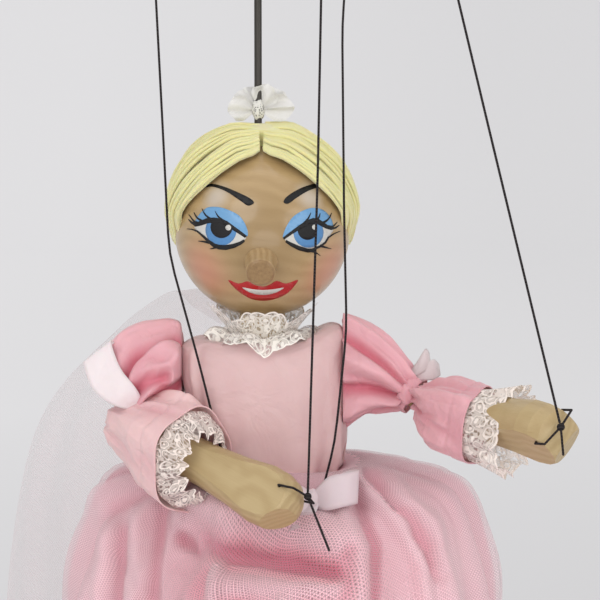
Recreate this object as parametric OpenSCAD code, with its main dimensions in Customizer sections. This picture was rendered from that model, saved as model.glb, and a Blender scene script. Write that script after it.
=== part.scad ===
// Wooden rod and string marionette in a tulle dress, hung from a cross-shaped controller.
// Millimetres, +Z up, and the puppet faces -Y. Its right hand is on the -X side.
// The origin is the centre of the controller's hanging hole, on the axis of the head rod.

/* [Controller] */
// Length of the main bar
bar_len = 150; // [130:1:190]
// Width of the main bar
bar_w = 20; // [18:1:26]
// Thickness of the main bar and of the cross bar
bar_t = 12; // [11:0.5:16]
// Turn of the controller about the rod, towards the puppet's left
bar_yaw = 27; // [20:1:34]
// Length of the cross bar
cross_len = 126; // [118:1:160]
// Width of the cross bar
cross_w = 18; // [16:1:24]
// Height of the hump over the main bar
hump_h = 12; // [11:0.5:16]
// Diameter of the hanging hole
hang_d = 6; // [4:0.5:7]
// Distance from the rod to the holes of the hand strings
hand_reach = 60.5; // [56:0.5:64]
// Distance between the two hand string holes
hand_hole_gap = 8; // [5:0.5:12]
// Distance from the rod to each knee string hole
knee_reach = 56; // [50:0.5:57]
// Diameter of the string holes
string_hole_d = 2.6; // [2:0.1:4]
// Diameter of the wooden bead that stops each string on the bar
bead_d = 4; // [3:0.5:7]
// Diameter of the two lap screws
screw_d = 2.6; // [2:0.1:3.4]

/* [Rod] */
// Diameter of the steel rod
rod_d = 3; // [2.5:0.1:4]
// Height of the hanging hole over the centre of the head
head_drop = 285; // [275:1:300]
// How far the rod passes to the right of the head's centre
rod_shift = 1.6; // [0:0.1:2]
// Diameter of the cross pins that hold the rod
rod_pin_d = 1.5; // [1:0.1:1.8]

/* [Head] */
// Diameter of the wooden ball
ball_d = 70; // [66:1:74]
// Diameter of the neck
neck_d = 20; // [18:0.5:22]
// Diameter of the nose peg at its end
nose_d = 11.2; // [9:0.2:12]
// How far the nose peg stands out of the ball
nose_out = 9.5; // [6:0.5:12]
// How far the nose points below level
nose_drop = 19; // [10:1:25]
// Thickness of the yarn hair on the crown
hair_top = 9.3; // [8:0.1:11]
// Thickness of the yarn hair at the temples
hair_side = 4.8; // [4:0.1:6]

/* [Torso] */
// Width of the chest block
chest_w = 60; // [56:1:60]
// Width of the waist
waist_w = 35; // [32:1:38]
// Width of the hips
hip_w = 48; // [46:1:50]
// Depth of the chest block
chest_d = 27; // [24:1:28]
// Height of the shoulder pins under the head's centre
shoulder_z = -50; // [-51:0.5:-49]
// Height of the waist seam
waist_z = -95; // [-96:0.5:-94]
// Height of the hip axle
hip_z = -120; // [-122:1:-119]
// Distance of each leg from the middle
leg_x = 12; // [11.5:0.5:13]

/* [Arms] */
// Diameter of the shoulder pins
arm_pin_d = 3; // [2.5:0.1:3.4]
// Thickness of the eye at the top of the upper arm
arm_eye_t = 6; // [5:0.5:7]
// Upper arm, from the shoulder pin to the elbow pin
upper_arm_len = 33.5; // [32:0.5:36]
// Forearm and hand, from the elbow pin to the fingertips
forearm_len = 90; // [84:1:94]
// Width of the hand
hand_w = 23; // [20:0.5:25]
// Thickness of the hand
hand_t = 15; // [13:0.5:16]
// Diameter of the elbow pins
elbow_pin_d = 2; // [1.6:0.1:2.4]
// Thickness of the tongue in the elbow
elbow_tongue = 3.4; // [3:0.1:4]

/* [Legs] */
// Thigh, from the hip axle to the knee pin
thigh_len = 70; // [66:1:74]
// Shin, from the knee pin to the top of the shoe
shin_len = 74; // [70:1:80]
// Diameter of the hip axle
hip_pin_d = 3; // [2.5:0.1:3.4]
// Diameter of the knee pins
knee_pin_d = 2.4; // [2:0.1:3]
// Thickness of the tongues in the hips and knees
leg_tongue = 5.6; // [5:0.1:6]
// Length of the shoe
shoe_len = 36; // [32:1:40]
// Width of the shoe
shoe_w = 15; // [13:0.5:17]

/* [Dress] */
// Thickness of the bodice and sleeve cloth, with its seams
cloth_t = 1.2; // [0.8:0.1:1.5]
// Largest half width of the skirt
skirt_r = 84; // [80:1:90]
// Height of the skirt's hem
hem_z = -200; // [-206:1:-194]
// Depth of the skirt's folds at the hem
skirt_fold = 5; // [2:0.5:6]
// Outer radius of the lace collar
collar_r = 20; // [18:0.5:22]
// Largest half height of the right upper sleeve
puff_r = 19; // [16:0.5:20]
// Radius of the right sleeve's hem
cuff_r = 20.5; // [18:0.5:22]

/* [Strings] */
// Diameter of the black thread
thread_d = 0.9; // [0.8:0.1:1.2]
// Diameter of the thread knots
knot_d = 3; // [2.4:0.1:3.6]

/* [Hidden] */
$fn = 48;

fit = 0.05; // radial running clearance of pins and rod
gap = 0.3; // clearance between parts that move past each other
eps = 0.01;
right = -1; // side of the puppet's right hand
left = 1;

// Controller
bar_top = hang_d / 2 + 2 - hump_h;
bar_bottom = bar_top - bar_t;
lap_z = bar_top - bar_t / 2;
bar_front = hand_reach + 10;
rod_top = -hang_d / 2 - 3;
rod_pin_z = (rod_top + lap_z) / 2 - 0.2;
screw_x = 6;
screw_y = 5;

// Torso, from the head's centre
ball_r = ball_d / 2;
neck_r = neck_d / 2 + 0.4;
torso_top = -49.3;
chest_z = -72;
torso_bottom = hip_z - 11;
rod_end_z = -80;
torso_pin_z = -66;
cloth_x = chest_w / 2 + 3;
arm_x = cloth_x + gap;
eye_mid = arm_x + arm_eye_t / 2;
knee_z = hip_z - thigh_len;
ankle_z = knee_z - shin_len;

// Joints of the arms: where they lie and how the arms hang, from the head's centre
elbow_r = 4.5;
elbow_clear = 7.6;
right_upper_dir = unit([-17, -8, -28]);
left_upper_dir = unit([26, -12, -17]);
right_fore_dir = unit([65, -56, -23]);
left_fore_dir = unit([45, -70, -3]);
right_shoulder = [-eye_mid, 0, shoulder_z];
left_shoulder = [eye_mid, 0, shoulder_z];
right_elbow = right_shoulder + upper_arm_len * right_upper_dir;
left_elbow = left_shoulder + upper_arm_len * left_upper_dir;
right_pin_dir = unit(cross(right_upper_dir, right_fore_dir));
left_pin_dir = unit(cross(left_upper_dir, left_fore_dir));

// Routes of the strings, from the hanging hole; near the puppet they are set from its head's centre
head_at = [rod_shift, 0, -head_drop];
tie_out = 2.38;
tie_up = 6.92;
function hand_tie(elbow, dir, pin_dir) =
    head_at + elbow + dir * (forearm_len + tie_out) - tie_up * unit(cross(dir, pin_dir));
right_hand_tie = hand_tie(right_elbow, right_fore_dir, right_pin_dir);
left_hand_tie = hand_tie(left_elbow, left_fore_dir, left_pin_dir);
knee_tie = [leg_x, -9, knee_z + 12];
string_top = bar_top + bead_d;
right_hand_route = [[24, -56, string_top], [24, -56, -18], [24.6, -57, -60], [25.2, -59, -150],
    right_hand_tie + [3.7, 3, 121], right_hand_tie];
left_hand_route = [[31, -52, string_top], [31, -52, -18], [38, -55.5, -50], [57.5, -65.5, -130],
    left_hand_tie + [-26, 13.5, 108.5], left_hand_tie];
right_knee_route = [[-50, -25, string_top], [-50, -25, -18], [-42, -26, -120], head_at + [-38, -26.5, 45],
    head_at + [-35.6, -27, -8], head_at + [-24.6, -23.5, -50], head_at + [-14.8, -19.6, -91],
    head_at + [-knee_tie.x, knee_tie.y, knee_tie.z]];
left_knee_route = [[50, 25, string_top], [50, 25, -18], [45, 13, -80], [38, 0, -140], head_at + [31.4, -14, 80],
    head_at + [31.9, -32, 8], head_at + [32.9, -35, -37], head_at + [28.4, -38, -80], head_at + [22.4, -32, -105],
    head_at + knee_tie];
right_hand_tail = [8, -2, -20];
left_hand_tail = [1, 0, -10];

function unit(v) = v / norm(v);
function mix(a, b, t) = a + (b - a) * t;

// A ring of n points around c in the plane of a and b, with k waves of the given depth
function wavy_ring(c, a, b, ra, rb, n, depth = 0, k = 1, turn = 0) =
    [for (i = [0 : n - 1])
        let (t = 360 * i / n, w = depth * sin(k * t + turn))
        c + a * (ra + w) * cos(t) + b * (rb + w) * sin(t)];

function band(n, p, q) =
    [for (i = [0 : n - 1]) let (j = (i + 1) % n) each [[p + i, q + i, p + j], [q + i, q + j, p + j]]];

// A closed skin over rings that come back to the first one, as on a sleeve's outside and inside
module shell_skin(rings) {
    n = len(rings[0]);
    m = len(rings);
    polyhedron([for (r = rings) each r], [for (k = [0 : m - 1]) each band(n, k * n, ((k + 1) % m) * n)]);
}

// A closed skin over rings from one end to the other
module solid_skin(rings) {
    n = len(rings[0]);
    m = len(rings);
    faces = concat(
        [for (k = [0 : m - 2]) each band(n, k * n, (k + 1) * n)],
        [for (i = [1 : n - 2]) [0, i, i + 1]],
        [for (i = [1 : n - 2]) [(m - 1) * n, (m - 1) * n + i + 1, (m - 1) * n + i]]);
    polyhedron([for (r = rings) each r], faces);
}

// A tube of eight sides along a route of hand-set points
module thread(route, d) {
    m = len(route);
    solid_skin([for (k = [0 : m - 1])
        let (t = unit(route[min(k + 1, m - 1)] - route[max(k - 1, 0)]), a = unit(cross([0, 1, 0], t)))
        wavy_ring(route[k], a, cross(t, a), d / 2, d / 2, 8)]);
}

// A short straight end of thread
module rod_between(a, b, d) hull() for (p = [a, b]) translate(p) sphere(d = d, $fn = 8);

// Puts children with their Z along z and their X close to x
module aim(at, z, x) {
    c = unit(z);
    b = unit(cross(c, x));
    a = cross(b, c);
    multmatrix([[a.x, b.x, c.x, at.x], [a.y, b.y, c.y, at.y], [a.z, b.z, c.z, at.z], [0, 0, 0, 1]]) children();
}

// From the hanging hole to the centre of the head
module puppet() translate(head_at) children();

module along_x(at, d, from, to) translate([from, at.y, at.z]) rotate([0, 90, 0]) cylinder(d = d, h = to - from);

module rod_hole(d, from, to) translate([-rod_shift, 0, from]) cylinder(d = d, h = to - from);

// Controller pieces, in the frame of the main bar
module in_bar() rotate([0, 0, bar_yaw]) children();

module round_bar(len_front, len_back, w) {
    translate([-w / 2, -len_front + w / 2]) square([w, len_front + len_back - w]);
    translate([0, -len_front + w / 2]) circle(d = w);
    translate([0, len_back - w / 2]) circle(d = w);
}

module string_hole(x, y) translate([x, y, bar_bottom - 1]) cylinder(d = string_hole_d, h = bar_t + 2);

module control_bar() color("burlywood") in_bar() difference() {
    union() {
        translate([0, 0, bar_bottom]) linear_extrude(bar_t) round_bar(bar_front, bar_len - bar_front, bar_w);
        rotate([90, 0, 90]) linear_extrude(bar_w, center = true)
            polygon([[-24, bar_top - 1], [-15, bar_top + hump_h - 4], [-10, bar_top + hump_h],
                [10, bar_top + hump_h], [15, bar_top + hump_h - 4], [24, bar_top - 1]]);
    }
    rotate([0, 90, 0]) cylinder(d = hang_d, h = bar_w + 2, center = true);
    translate([-bar_w, -cross_w / 2 - fit, bar_bottom - 1]) cube([2 * bar_w, cross_w + 2 * fit, lap_z - bar_bottom + 1]);
    translate([0, 0, bar_bottom - 1]) cylinder(d = rod_d + 2 * fit, h = rod_top + fit - bar_bottom + 1);
    translate([0, 0, rod_pin_z]) rotate([0, 90, 0]) cylinder(d = rod_pin_d + 2 * fit, h = bar_w + 2, center = true);
    for (s = [-1, 1]) {
        string_hole(s * hand_hole_gap / 2, -hand_reach);
        translate([s * screw_x, s * screw_y, lap_z - 1]) cylinder(d = screw_d + 2 * fit, h = bar_t / 3 + 1);
    }
}

module cross_bar() color("burlywood") in_bar() difference() {
    translate([0, 0, bar_bottom]) rotate([0, 0, 90]) linear_extrude(bar_t)
        round_bar(cross_len / 2, cross_len / 2, cross_w);
    translate([-bar_w / 2 - fit, -cross_w, lap_z - fit]) cube([bar_w + 2 * fit, 2 * cross_w, bar_t]);
    translate([0, 0, bar_bottom - 1]) cylinder(d = rod_d + 2 * fit, h = bar_t);
    for (s = [-1, 1]) {
        string_hole(s * knee_reach, 0);
        translate([s * screw_x, s * screw_y, bar_bottom - 1]) cylinder(d = screw_d + 2 * fit, h = bar_t);
        translate([s * screw_x, s * screw_y, bar_bottom - eps])
            cylinder(d1 = 2 * screw_d + 0.2, d2 = screw_d, h = screw_d / 2 + 0.2);
    }
}

module lap_screws() color("silver") in_bar() for (s = [-1, 1]) translate([s * screw_x, s * screw_y, bar_bottom + eps]) {
    cylinder(d1 = 2 * screw_d, d2 = screw_d, h = screw_d / 2);
    cylinder(d = screw_d, h = bar_t / 2 + bar_t / 3 - 0.5);
}

module head_rod() color("dimgray") difference() {
    translate([0, 0, -head_drop + rod_end_z]) cylinder(d = rod_d, h = rod_top + head_drop - rod_end_z);
    in_bar() translate([0, 0, rod_pin_z]) rotate([0, 90, 0]) cylinder(d = rod_pin_d + 2 * fit, h = 9, center = true);
    translate([0, 0, -head_drop + torso_pin_z]) rotate([90, 0, 0]) cylinder(d = rod_pin_d + 2 * fit, h = 9, center = true);
}

module rod_pins() color("silver") {
    in_bar() translate([0, 0, rod_pin_z]) rotate([0, 90, 0]) cylinder(d = rod_pin_d, h = bar_w - 1, center = true);
    translate([0, chest_d / 3, -head_drop + torso_pin_z]) rotate([90, 0, 0]) cylinder(d = rod_pin_d, h = chest_d * 0.7);
}

// Half of an outline, mirrored to the other side
function both_sides(p) = concat(p, [for (i = [len(p) - 1 : -1 : 0]) [-p[i].x, p[i].y]]);

module torso() color("burlywood") puppet() difference() {
    intersection() {
        rotate([90, 0, 0]) linear_extrude(chest_d + 10, center = true) polygon(both_sides([
            [13, torso_top], [chest_w / 2 - 5, torso_top - 2], [chest_w / 2 - 1, torso_top - 4],
            [chest_w / 2, torso_top - 8], [chest_w / 2, shoulder_z - 10], [chest_w / 2 - 4, chest_z],
            [waist_w / 2, waist_z + 4], [waist_w / 2, waist_z - 4], [hip_w / 2, hip_z + 9],
            [hip_w / 2, hip_z - 4], [hip_w / 2 - 4, torso_bottom]]));
        rotate([90, 0, 90]) linear_extrude(chest_w + 10, center = true) union() {
            polygon([[-10, torso_top], [-chest_d / 2, torso_top - 12], [-chest_d / 2 - 1, chest_z],
                [-10, waist_z], [-11, hip_z], [11, hip_z], [12, hip_z + 10], [9, waist_z],
                [chest_d / 2 - 2, chest_z], [chest_d / 2 - 2, torso_top - 10], [10, torso_top]]);
            translate([0, hip_z]) circle(r = 11);
        }
        translate([0, 0, torso_bottom]) linear_extrude(torso_top - torso_bottom) polygon(both_sides([
            [19, -chest_d / 2 - 2], [chest_w / 2, -5], [chest_w / 2, 7], [22, chest_d / 2]]));
    }
    rod_hole(rod_d + 2 * fit, rod_end_z - 1, torso_top + 5);
    translate([-rod_shift, 0, torso_pin_z]) rotate([90, 0, 0]) cylinder(d = rod_pin_d + 2 * fit, h = chest_d + 4, center = true);
    along_x([0, 0, shoulder_z], arm_pin_d + 2 * fit, -chest_w, -chest_w / 2 + 13);
    along_x([0, 0, shoulder_z], arm_pin_d + 2 * fit, chest_w / 2 - 13, chest_w);
    along_x([0, 0, hip_z], hip_pin_d + 2 * fit, -hip_w, hip_w);
    for (s = [-1, 1]) translate([s * leg_x - leg_tongue / 2 - gap, -20, hip_z - 20])
        cube([leg_tongue + 2 * gap, 40, 28.3]);
}

module arm_pins() color("silver") puppet() for (s = [-1, 1]) {
    from = chest_w / 2 - 12.5;
    to = arm_x + arm_eye_t + gap;
    translate([0, 0, shoulder_z]) rotate([0, s * 90, 0]) {
        translate([0, 0, from]) cylinder(d = arm_pin_d, h = to - from + 1);
        translate([0, 0, to]) cylinder(d = arm_pin_d + 3, h = 1.2);
    }
}

module hip_axle() color("silver") puppet() along_x([0, 0, hip_z], hip_pin_d, -hip_w / 2 + 0.5, hip_w / 2 - 0.5);

// Section of the bodice: height, half width, half depth, shift to the side
bodice_rings = [[waist_z - 1, 26.5, 19.5, 5], [-84, 31, 20, 3.8], [-79.5, 30.2, 20.3, 2.5], [-72, 31, 20.5, 1.6],
    [-60, cloth_x - 0.6, 20, 0.2], [-50, cloth_x - 0.3, 18, 0], [-46.5, cloth_x - 3, 16.5, 0],
    [-44.6, 24, 15.5, 0], [-44.6, neck_r + 2.4, neck_r + 2.4, 0]];

// Squared sine and cosine, for a section that is flatter than an ellipse
function squared(c, p) = sign(c) * pow(abs(c), p);

function bodice_ring(s, t, n) = [for (i = [0 : n - 1])
    let (a = 360 * i / n, p = s[1] < 15 ? 1 : 0.68, w = 0.35 * sin(14 * a) - t)
    [s[3] + (s[1] + w) * squared(cos(a), p), (s[2] + w) * squared(sin(a), p), s[0] - (s[0] > -47 ? t : 0)]];

module bodice() color("rosybrown") puppet() difference() {
    last = len(bodice_rings) - 1;
    shell_skin(concat(
        [for (k = [0 : last]) bodice_ring(bodice_rings[k], 0, 48)],
        [for (k = [last : -1 : 0]) bodice_ring(bodice_rings[k], k == last ? 0 : cloth_t, 48)]));
    along_x([0, 0, shoulder_z], arm_pin_d + 4, -cloth_x - 5, -chest_w / 2 + 4);
    along_x([0, 0, shoulder_z], arm_pin_d + 4, chest_w / 2 - 4, cloth_x + 5);
}

// Gathers of the skirt: height, half width, half depth, dent under the right arm, fold depth
skirt_rings = [[waist_z, 28.6, 22, 0, 0.4], [waist_z + 1.5, 40, 31, 12, 1], [waist_z - 1.5, 55, 43, 28, 2],
    [waist_z - 7, 70, 55, 32, 3], [waist_z - 23, skirt_r - 7, 66, 24, 4], [waist_z - 45, skirt_r - 1, 77, 14, 4.5],
    [waist_z - 68, skirt_r, skirt_r - 1, 6, skirt_fold], [hem_z, skirt_r + 3, skirt_r + 3, 0, skirt_fold]];
skirt_at = [8, 4];
skirt_n = 64;
flute_depth = 2.4;

// One gathered ring, t inside the outer face
function gathered(s, t) =
    [for (i = [0 : skirt_n - 1])
        let (a = 360 * i / skirt_n,
            flute = flute_depth * cos(16 * a) * min(1, max(0, (s[1] - 28) / 40)),
            w = s[4] * (sin(9 * a + 20) * 0.8 + sin(5 * a - 50) * 0.5) + flute - t,
            p = min(1, 0.68 + max(0, s[1] - 28) / 40),
            x = mix(5, skirt_at.x, min(1, (waist_z + 2 - s[0]) / 20)),
            dent = pow(max(0, cos(a + 115)), 2))
        [x + (s[1] + w) * squared(cos(a), p), skirt_at.y * (x - 5) / (skirt_at.x - 5) + (s[2] + w) * squared(sin(a), p),
            s[0] - s[3] * dent - (s[0] > waist_z - 30 ? t : 0)]];

module gathered_shell(rings, t) {
    last = len(rings) - 1;
    shell_skin(concat([for (k = [0 : last]) gathered(rings[last - k], 0)],
        [for (k = [0 : last]) gathered(rings[k], t)]));
}

module knee_string_slots() for (r = [right_knee_route, left_knee_route]) {
    translate(-head_at) for (k = [len(r) - 3 : len(r) - 2])
        aim(r[k], r[k + 1] - r[k], [1, 0, 0]) translate([0, 0, -3]) cylinder(r = 2, h = norm(r[k + 1] - r[k]) + 6, $fn = 12);
}

module skirt() color("hotpink") puppet() difference() {
    gathered_shell(skirt_rings, cloth_t);
    knee_string_slots();
}

// The underskirt hangs from the same waist, inside the folds
under_rings = [for (k = [0 : len(skirt_rings) - 1]) let (s = skirt_rings[k])
    [s[0] - 2.6 - (k < 3 ? 1.5 * k : 5) + (k == len(skirt_rings) - 1 ? 12 : 0), s[1] - (k == 0 ? 0 : 7 + min(k, 2)),
        s[2] - (k == 0 ? 0 : 7 + min(k, 2)), s[3], k == 0 ? 0 : 1.5]];

module underskirt() color("lightpink") puppet() difference() {
    gathered_shell(under_rings, 1);
    knee_string_slots();
}

// A bow of two loops and two tails, in the X and Z plane
module bow(w, h, t) rotate([90, 0, 0]) linear_extrude(t, center = true) {
    for (s = [-1, 1]) {
        polygon([[0, h * 0.12], [s * w * 0.3, h * 0.42], [s * w * 0.46, h * 0.45], [s * w * 0.5, h * 0.2],
            [s * w * 0.46, -h * 0.1], [s * w * 0.3, -h * 0.14], [0, -h * 0.12]]);
        polygon([[0, h * 0.05], [s * w * 0.36, -h * 0.45], [s * w * 0.22, -h * 0.55], [-s * w * 0.05, -h * 0.1]]);
    }
    circle(d = h * 0.36);
}

// The waist bow lies on the gathers in front, turned back with their slope
bow_at = [24, -39.2, waist_z - 7.1];
bow_slope = -40;

module waist_bow() color("white") puppet() translate(bow_at) rotate([bow_slope, 0, 0]) bow(25, 19, 3.4);

// Lace ruffle around the neck: its seam, its middle and its waved edge, t above the underside
function collar_seam(t) = wavy_ring([0, 0, -44 + t], [1, 0, 0], [0, 1, 0], neck_r + 1.8, neck_r + 1.8, 72);

function collar_edge(t) = [for (i = [0 : 71])
    let (a = 5 * i, w = sin(11 * a + 40), r = collar_r + w - t / 3)
    [r * cos(a), r * sin(a), -38.6 + 3.2 * w + 2.4 * abs(cos(a)) + t]];

function collar_mid(t) =
    let (s = collar_seam(t), e = collar_edge(t)) [for (i = [0 : 71]) mix(s[i], e[i], 0.5) + [0, 0, -1.6]];

module lace_collar() color("ivory") puppet() shell_skin([collar_seam(0), collar_mid(0), collar_edge(0),
    collar_edge(1), collar_mid(1), collar_seam(1)]);

// Tulle veil: height, distance from the middle, first and last angle around the puppet
veil_rows = [[-44.5, 17, 80, 130], [-34, 33, 92, 146], [-27, 42, 98, 152], [-34, 55, 102, 158], [-46, 68, 106, 162],
    [-64, 86, 109, 165], [-84, 97, 112, 168], [-110, 103, 114, 170], [-138, 106, 116, 171], [-166, 108, 117, 172]];

veil_n = 14;

function veil_edge(r, t) = [for (i = [0 : veil_n])
    let (a = mix(r[2], r[3], i / veil_n), d = r[1] + 1.4 * sin(i * 100) * min(1, r[1] / 60) - t)
    [d * cos(a), d * sin(a), r[0]]];

function veil_loop(r) =
    let (back = veil_edge(r, 0.9)) concat(veil_edge(r, 0), [for (i = [veil_n : -1 : 0]) back[i]]);

module veil() color("mistyrose") puppet()
    solid_skin([for (k = [len(veil_rows) - 1 : -1 : 0]) veil_loop(veil_rows[k])]);

// Head pieces
nose_dir = [0, -cos(nose_drop), -sin(nose_drop)];
hair_low = -22;

module head_ball() color("burlywood") puppet() difference() {
    sphere(r = ball_r, $fn = 96);
    rod_hole(rod_d + 2 * fit, -ball_r - 1, ball_r + 1);
    aim(nose_dir * (ball_r - 6), nose_dir, [1, 0, 0]) cylinder(d = nose_d + 2 * fit, h = 12);
}

module neck() color("burlywood") puppet() difference() {
    rotate_extrude() polygon([[0, -30], [neck_d / 2 - 1.5, -30], [neck_d / 2 - 0.6, -37], [neck_d / 2 - 1, -42],
        [neck_d / 2 - 0.4, -45], [neck_r, -46], [neck_r, torso_top + gap], [0, torso_top + gap]]);
    sphere(r = ball_r + fit, $fn = 96);
    rod_hole(rod_d + 2 * fit, torso_top, -20);
}

function on_ball(r) = [r, sqrt(pow(ball_r + fit, 2) - r * r)];

module nose_peg() color("tan") puppet() aim([0, 0, 0], nose_dir, [1, 0, 0]) rotate_extrude() polygon([
    [0, ball_r - 5.5], [nose_d / 2, ball_r - 5.5], on_ball(nose_d / 2), on_ball(nose_d / 2 + 0.9),
    [nose_d / 2 + 0.2, ball_r + 2.5], [nose_d / 2, ball_r + nose_out - 1], [nose_d / 2 - 1, ball_r + nose_out],
    [0, ball_r + nose_out]]);

// Height and radius of the hair's outside, on a quarter of an ellipse
function hair_edge(a) = [(ball_r + hair_side) * cos(a), (ball_r + hair_top) * sin(a)];

module hair() color("khaki") puppet() difference() {
    rotate_extrude($fn = 64) polygon(concat([[0, hair_low]], [for (a = [-29 : 8.5 : 90]) hair_edge(a)], [[0, ball_r + hair_top]]));
    sphere(r = ball_r + fit, $fn = 96);
    rod_hole(rod_d + 1, 0, 60);
    translate([-60, -3.5, -5]) rotate([14.5, 0, 0]) translate([0, -80, -60]) cube([120, 80, 140]);
    translate([0, 0, -6]) rotate([-12, 0, 0]) translate([-60, -60, -60]) cube([120, 120, 60]);
    translate([0, 0, ball_r + hair_top]) rotate([0, 45, 0]) cube([2.4, 120, 2.4], center = true);
}

module hair_bow() color("white") puppet() difference() {
    translate([0, 0, ball_r + hair_top + 5.6]) bow(27, 16, 8);
    translate([-rod_shift, 0, 30]) cylinder(d = rod_d + 1, h = 40);
    sphere(r = ball_r + hair_top + gap, $fn = 64);
}

// Upper arm: an eye on the shoulder pin, a shaft, and a fork for the elbow
module upper_arm(side, shoulder, dir, elbow, pin_dir) color("burlywood") puppet() difference() {
    union() {
        intersection() {
            aim(shoulder, dir, pin_dir) rotate_extrude() polygon([[0, -3], [5.2, -3], [6.4, 6], [6.2, 14],
                [elbow_r, upper_arm_len - elbow_clear], [0, upper_arm_len - elbow_clear]]);
            translate([side * (arm_x + 50), 0, shoulder.z]) cube(100, center = true);
        }
        translate([side * arm_x, 0, shoulder.z]) rotate([0, side * 90, 0]) cylinder(r = 6.5, h = arm_eye_t);
        aim(elbow, dir, pin_dir) intersection() {
            union() {
                rotate([0, 90, 0]) cylinder(r = elbow_r, h = 2 * elbow_r, center = true);
                translate([-elbow_r, -elbow_r, -elbow_clear - 1]) cube([2 * elbow_r, 2 * elbow_r, elbow_clear + 1]);
            }
            translate([0, 0, -20]) cylinder(r = elbow_r, h = 40);
        }
    }
    translate([0, 0, shoulder.z]) rotate([0, side * 90, 0]) cylinder(d = arm_pin_d + 2 * fit, h = 100);
    translate([side * (arm_x + arm_eye_t), 0, shoulder.z]) rotate([0, side * 90, 0]) cylinder(d = arm_pin_d + 4, h = 100);
    aim(elbow, dir, pin_dir) {
        rotate([0, 90, 0]) cylinder(d = elbow_pin_d + 2 * fit, h = 20, center = true);
        translate([0, 0, 10]) cube([elbow_tongue + 0.4, 30, 20 + 2 * elbow_clear - 1], center = true);
    }
}

module elbow_pin(elbow, dir, pin_dir) color("silver") puppet() aim(elbow, dir, pin_dir)
    rotate([0, 90, 0]) cylinder(d = elbow_pin_d, h = 2 * elbow_r - 0.6, center = true);

hand_hole = [0, -5, forearm_len - 6]; // thread hole through the hand, in the forearm's frame

// Forearm and mitten hand carved from one stick, with a tongue at the elbow
module forearm(side, elbow, dir, pin_dir) color("burlywood") puppet() aim(elbow, dir, pin_dir) difference() {
    union() {
        intersection() {
            rotate_extrude() polygon([[0, elbow_clear], [elbow_r - 0.2, elbow_clear], [7.2, 18], [8.4, 32],
                [8.7, 46], [10, forearm_len - 28], [hand_w / 2 + 0.2, forearm_len - 16], [hand_w / 2 - 0.2, forearm_len - 9],
                [hand_w / 2 - 1.8, forearm_len - 4], [hand_w / 2 - 4.6, forearm_len - 1.2],
                [hand_w / 2 - 8, forearm_len], [0, forearm_len]]);
            translate([-hand_t / 2, -20, 0]) cube([hand_t, 40, forearm_len + 5]);
            translate([0, 0, forearm_len / 2]) rotate([0, 90, 0]) linear_extrude(hand_t + 2, center = true)
                polygon([[forearm_len / 2, -20], [forearm_len / 2, 20], [-forearm_len / 2 + 12, 20],
                    [-forearm_len / 2 + 9, hand_w / 2], [-forearm_len / 2, 1], [-forearm_len / 2, -20]]);
        }
        rotate([0, 90, 0]) cylinder(r = elbow_r - 0.2, h = elbow_tongue, center = true);
        translate([-elbow_tongue / 2, -elbow_r + 0.2, 0]) cube([elbow_tongue, 2 * elbow_r - 0.4, elbow_clear + 2]);
    }
    rotate([0, 90, 0]) cylinder(d = elbow_pin_d + 2 * fit, h = 20, center = true);
    translate([0, hand_hole.y, hand_hole.z]) rotate([0, 90, 0]) cylinder(d = thread_d + 0.6, h = 30, center = true);
}

// Sleeve rings turn from the first plane to the last one: distance, half height, half depth, lift, fold, side
function sleeve_ring(from, to, n0, n1, r, t) =
    let (c = mix(from, to, r[0]), z = unit(mix(n0, n1, r[0])), b = unit(cross([0, 0, 1], z)), a = cross(z, b))
    wavy_ring(c + a * r[3] + b * r[5], b, a, r[2] - t, r[1] - t, 32, r[4], 5, 60 * r[0]);

module sleeve(from, to, n0, n1, rings) {
    last = len(rings) - 1;
    shell_skin(concat([for (k = [0 : last]) sleeve_ring(from, to, n0, n1, rings[k], 0)],
        [for (k = [last : -1 : 0]) sleeve_ring(from, to, n0, n1, rings[k], cloth_t)]));
}

sleeve_end = 8.8;

module right_upper_sleeve() color("lightcoral") puppet() sleeve([-arm_x - 0.3, 0, -57],
    right_elbow - sleeve_end * right_upper_dir, [-1, 0, 0], right_upper_dir,
    [[0, 15, 13, 0, 0, 0], [0.25, puff_r, 17, 2, 1.5, 0], [0.55, puff_r, 17.5, 5, 2, 0], [0.82, 13.5, 12, 4, 1, 0],
        [1, 6.2, 6.2, 0, 0, 0]]);

module left_upper_sleeve() color("lightcoral") puppet() sleeve([arm_x + 0.3, 0, -57],
    left_elbow - sleeve_end * left_upper_dir, [1, 0, 0], left_upper_dir,
    [[0, 21, 14, 0, 0, 0], [0.3, 17.5, 15, 1, 1.2, 0], [0.6, 13, 12.5, 1, 1, 0], [0.85, 8.5, 8.5, 0, 0.4, 0],
        [1, 6.2, 6.2, 0, 0, 0]]);

module right_lower_sleeve() color("lightpink") puppet() sleeve(right_elbow + sleeve_end * right_fore_dir,
    right_elbow + 40 * right_fore_dir, right_fore_dir, right_fore_dir,
    [[0, 6, 6, 0, 0, 0], [0.2, 12.5, 10, 0, 0.6, -0.5], [0.55, 18, 13.5, 0, 1, -2], [1, cuff_r, 14.8, 0, 0.8, -2]]);

module left_lower_sleeve() color("lightcoral") puppet() sleeve(left_elbow + sleeve_end * left_fore_dir,
    left_elbow + 34 * left_fore_dir, left_fore_dir, left_fore_dir,
    [[0, 6, 6, 0, 0, 0], [0.25, 10.5, 12, 0, 0.6, 0], [0.6, 14, 17, 0, 1.2, 0], [1, 14.5, 19.5, 0, 0.6, 0]]);

// Lace frill inside a sleeve's hem: one waved ring of it at c
function frill(c, dir, ra, rb, w) =
    let (b = unit(cross([0, 0, 1], dir))) wavy_ring(c, b, cross(dir, b), rb, ra, 60, w, 10);

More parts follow.
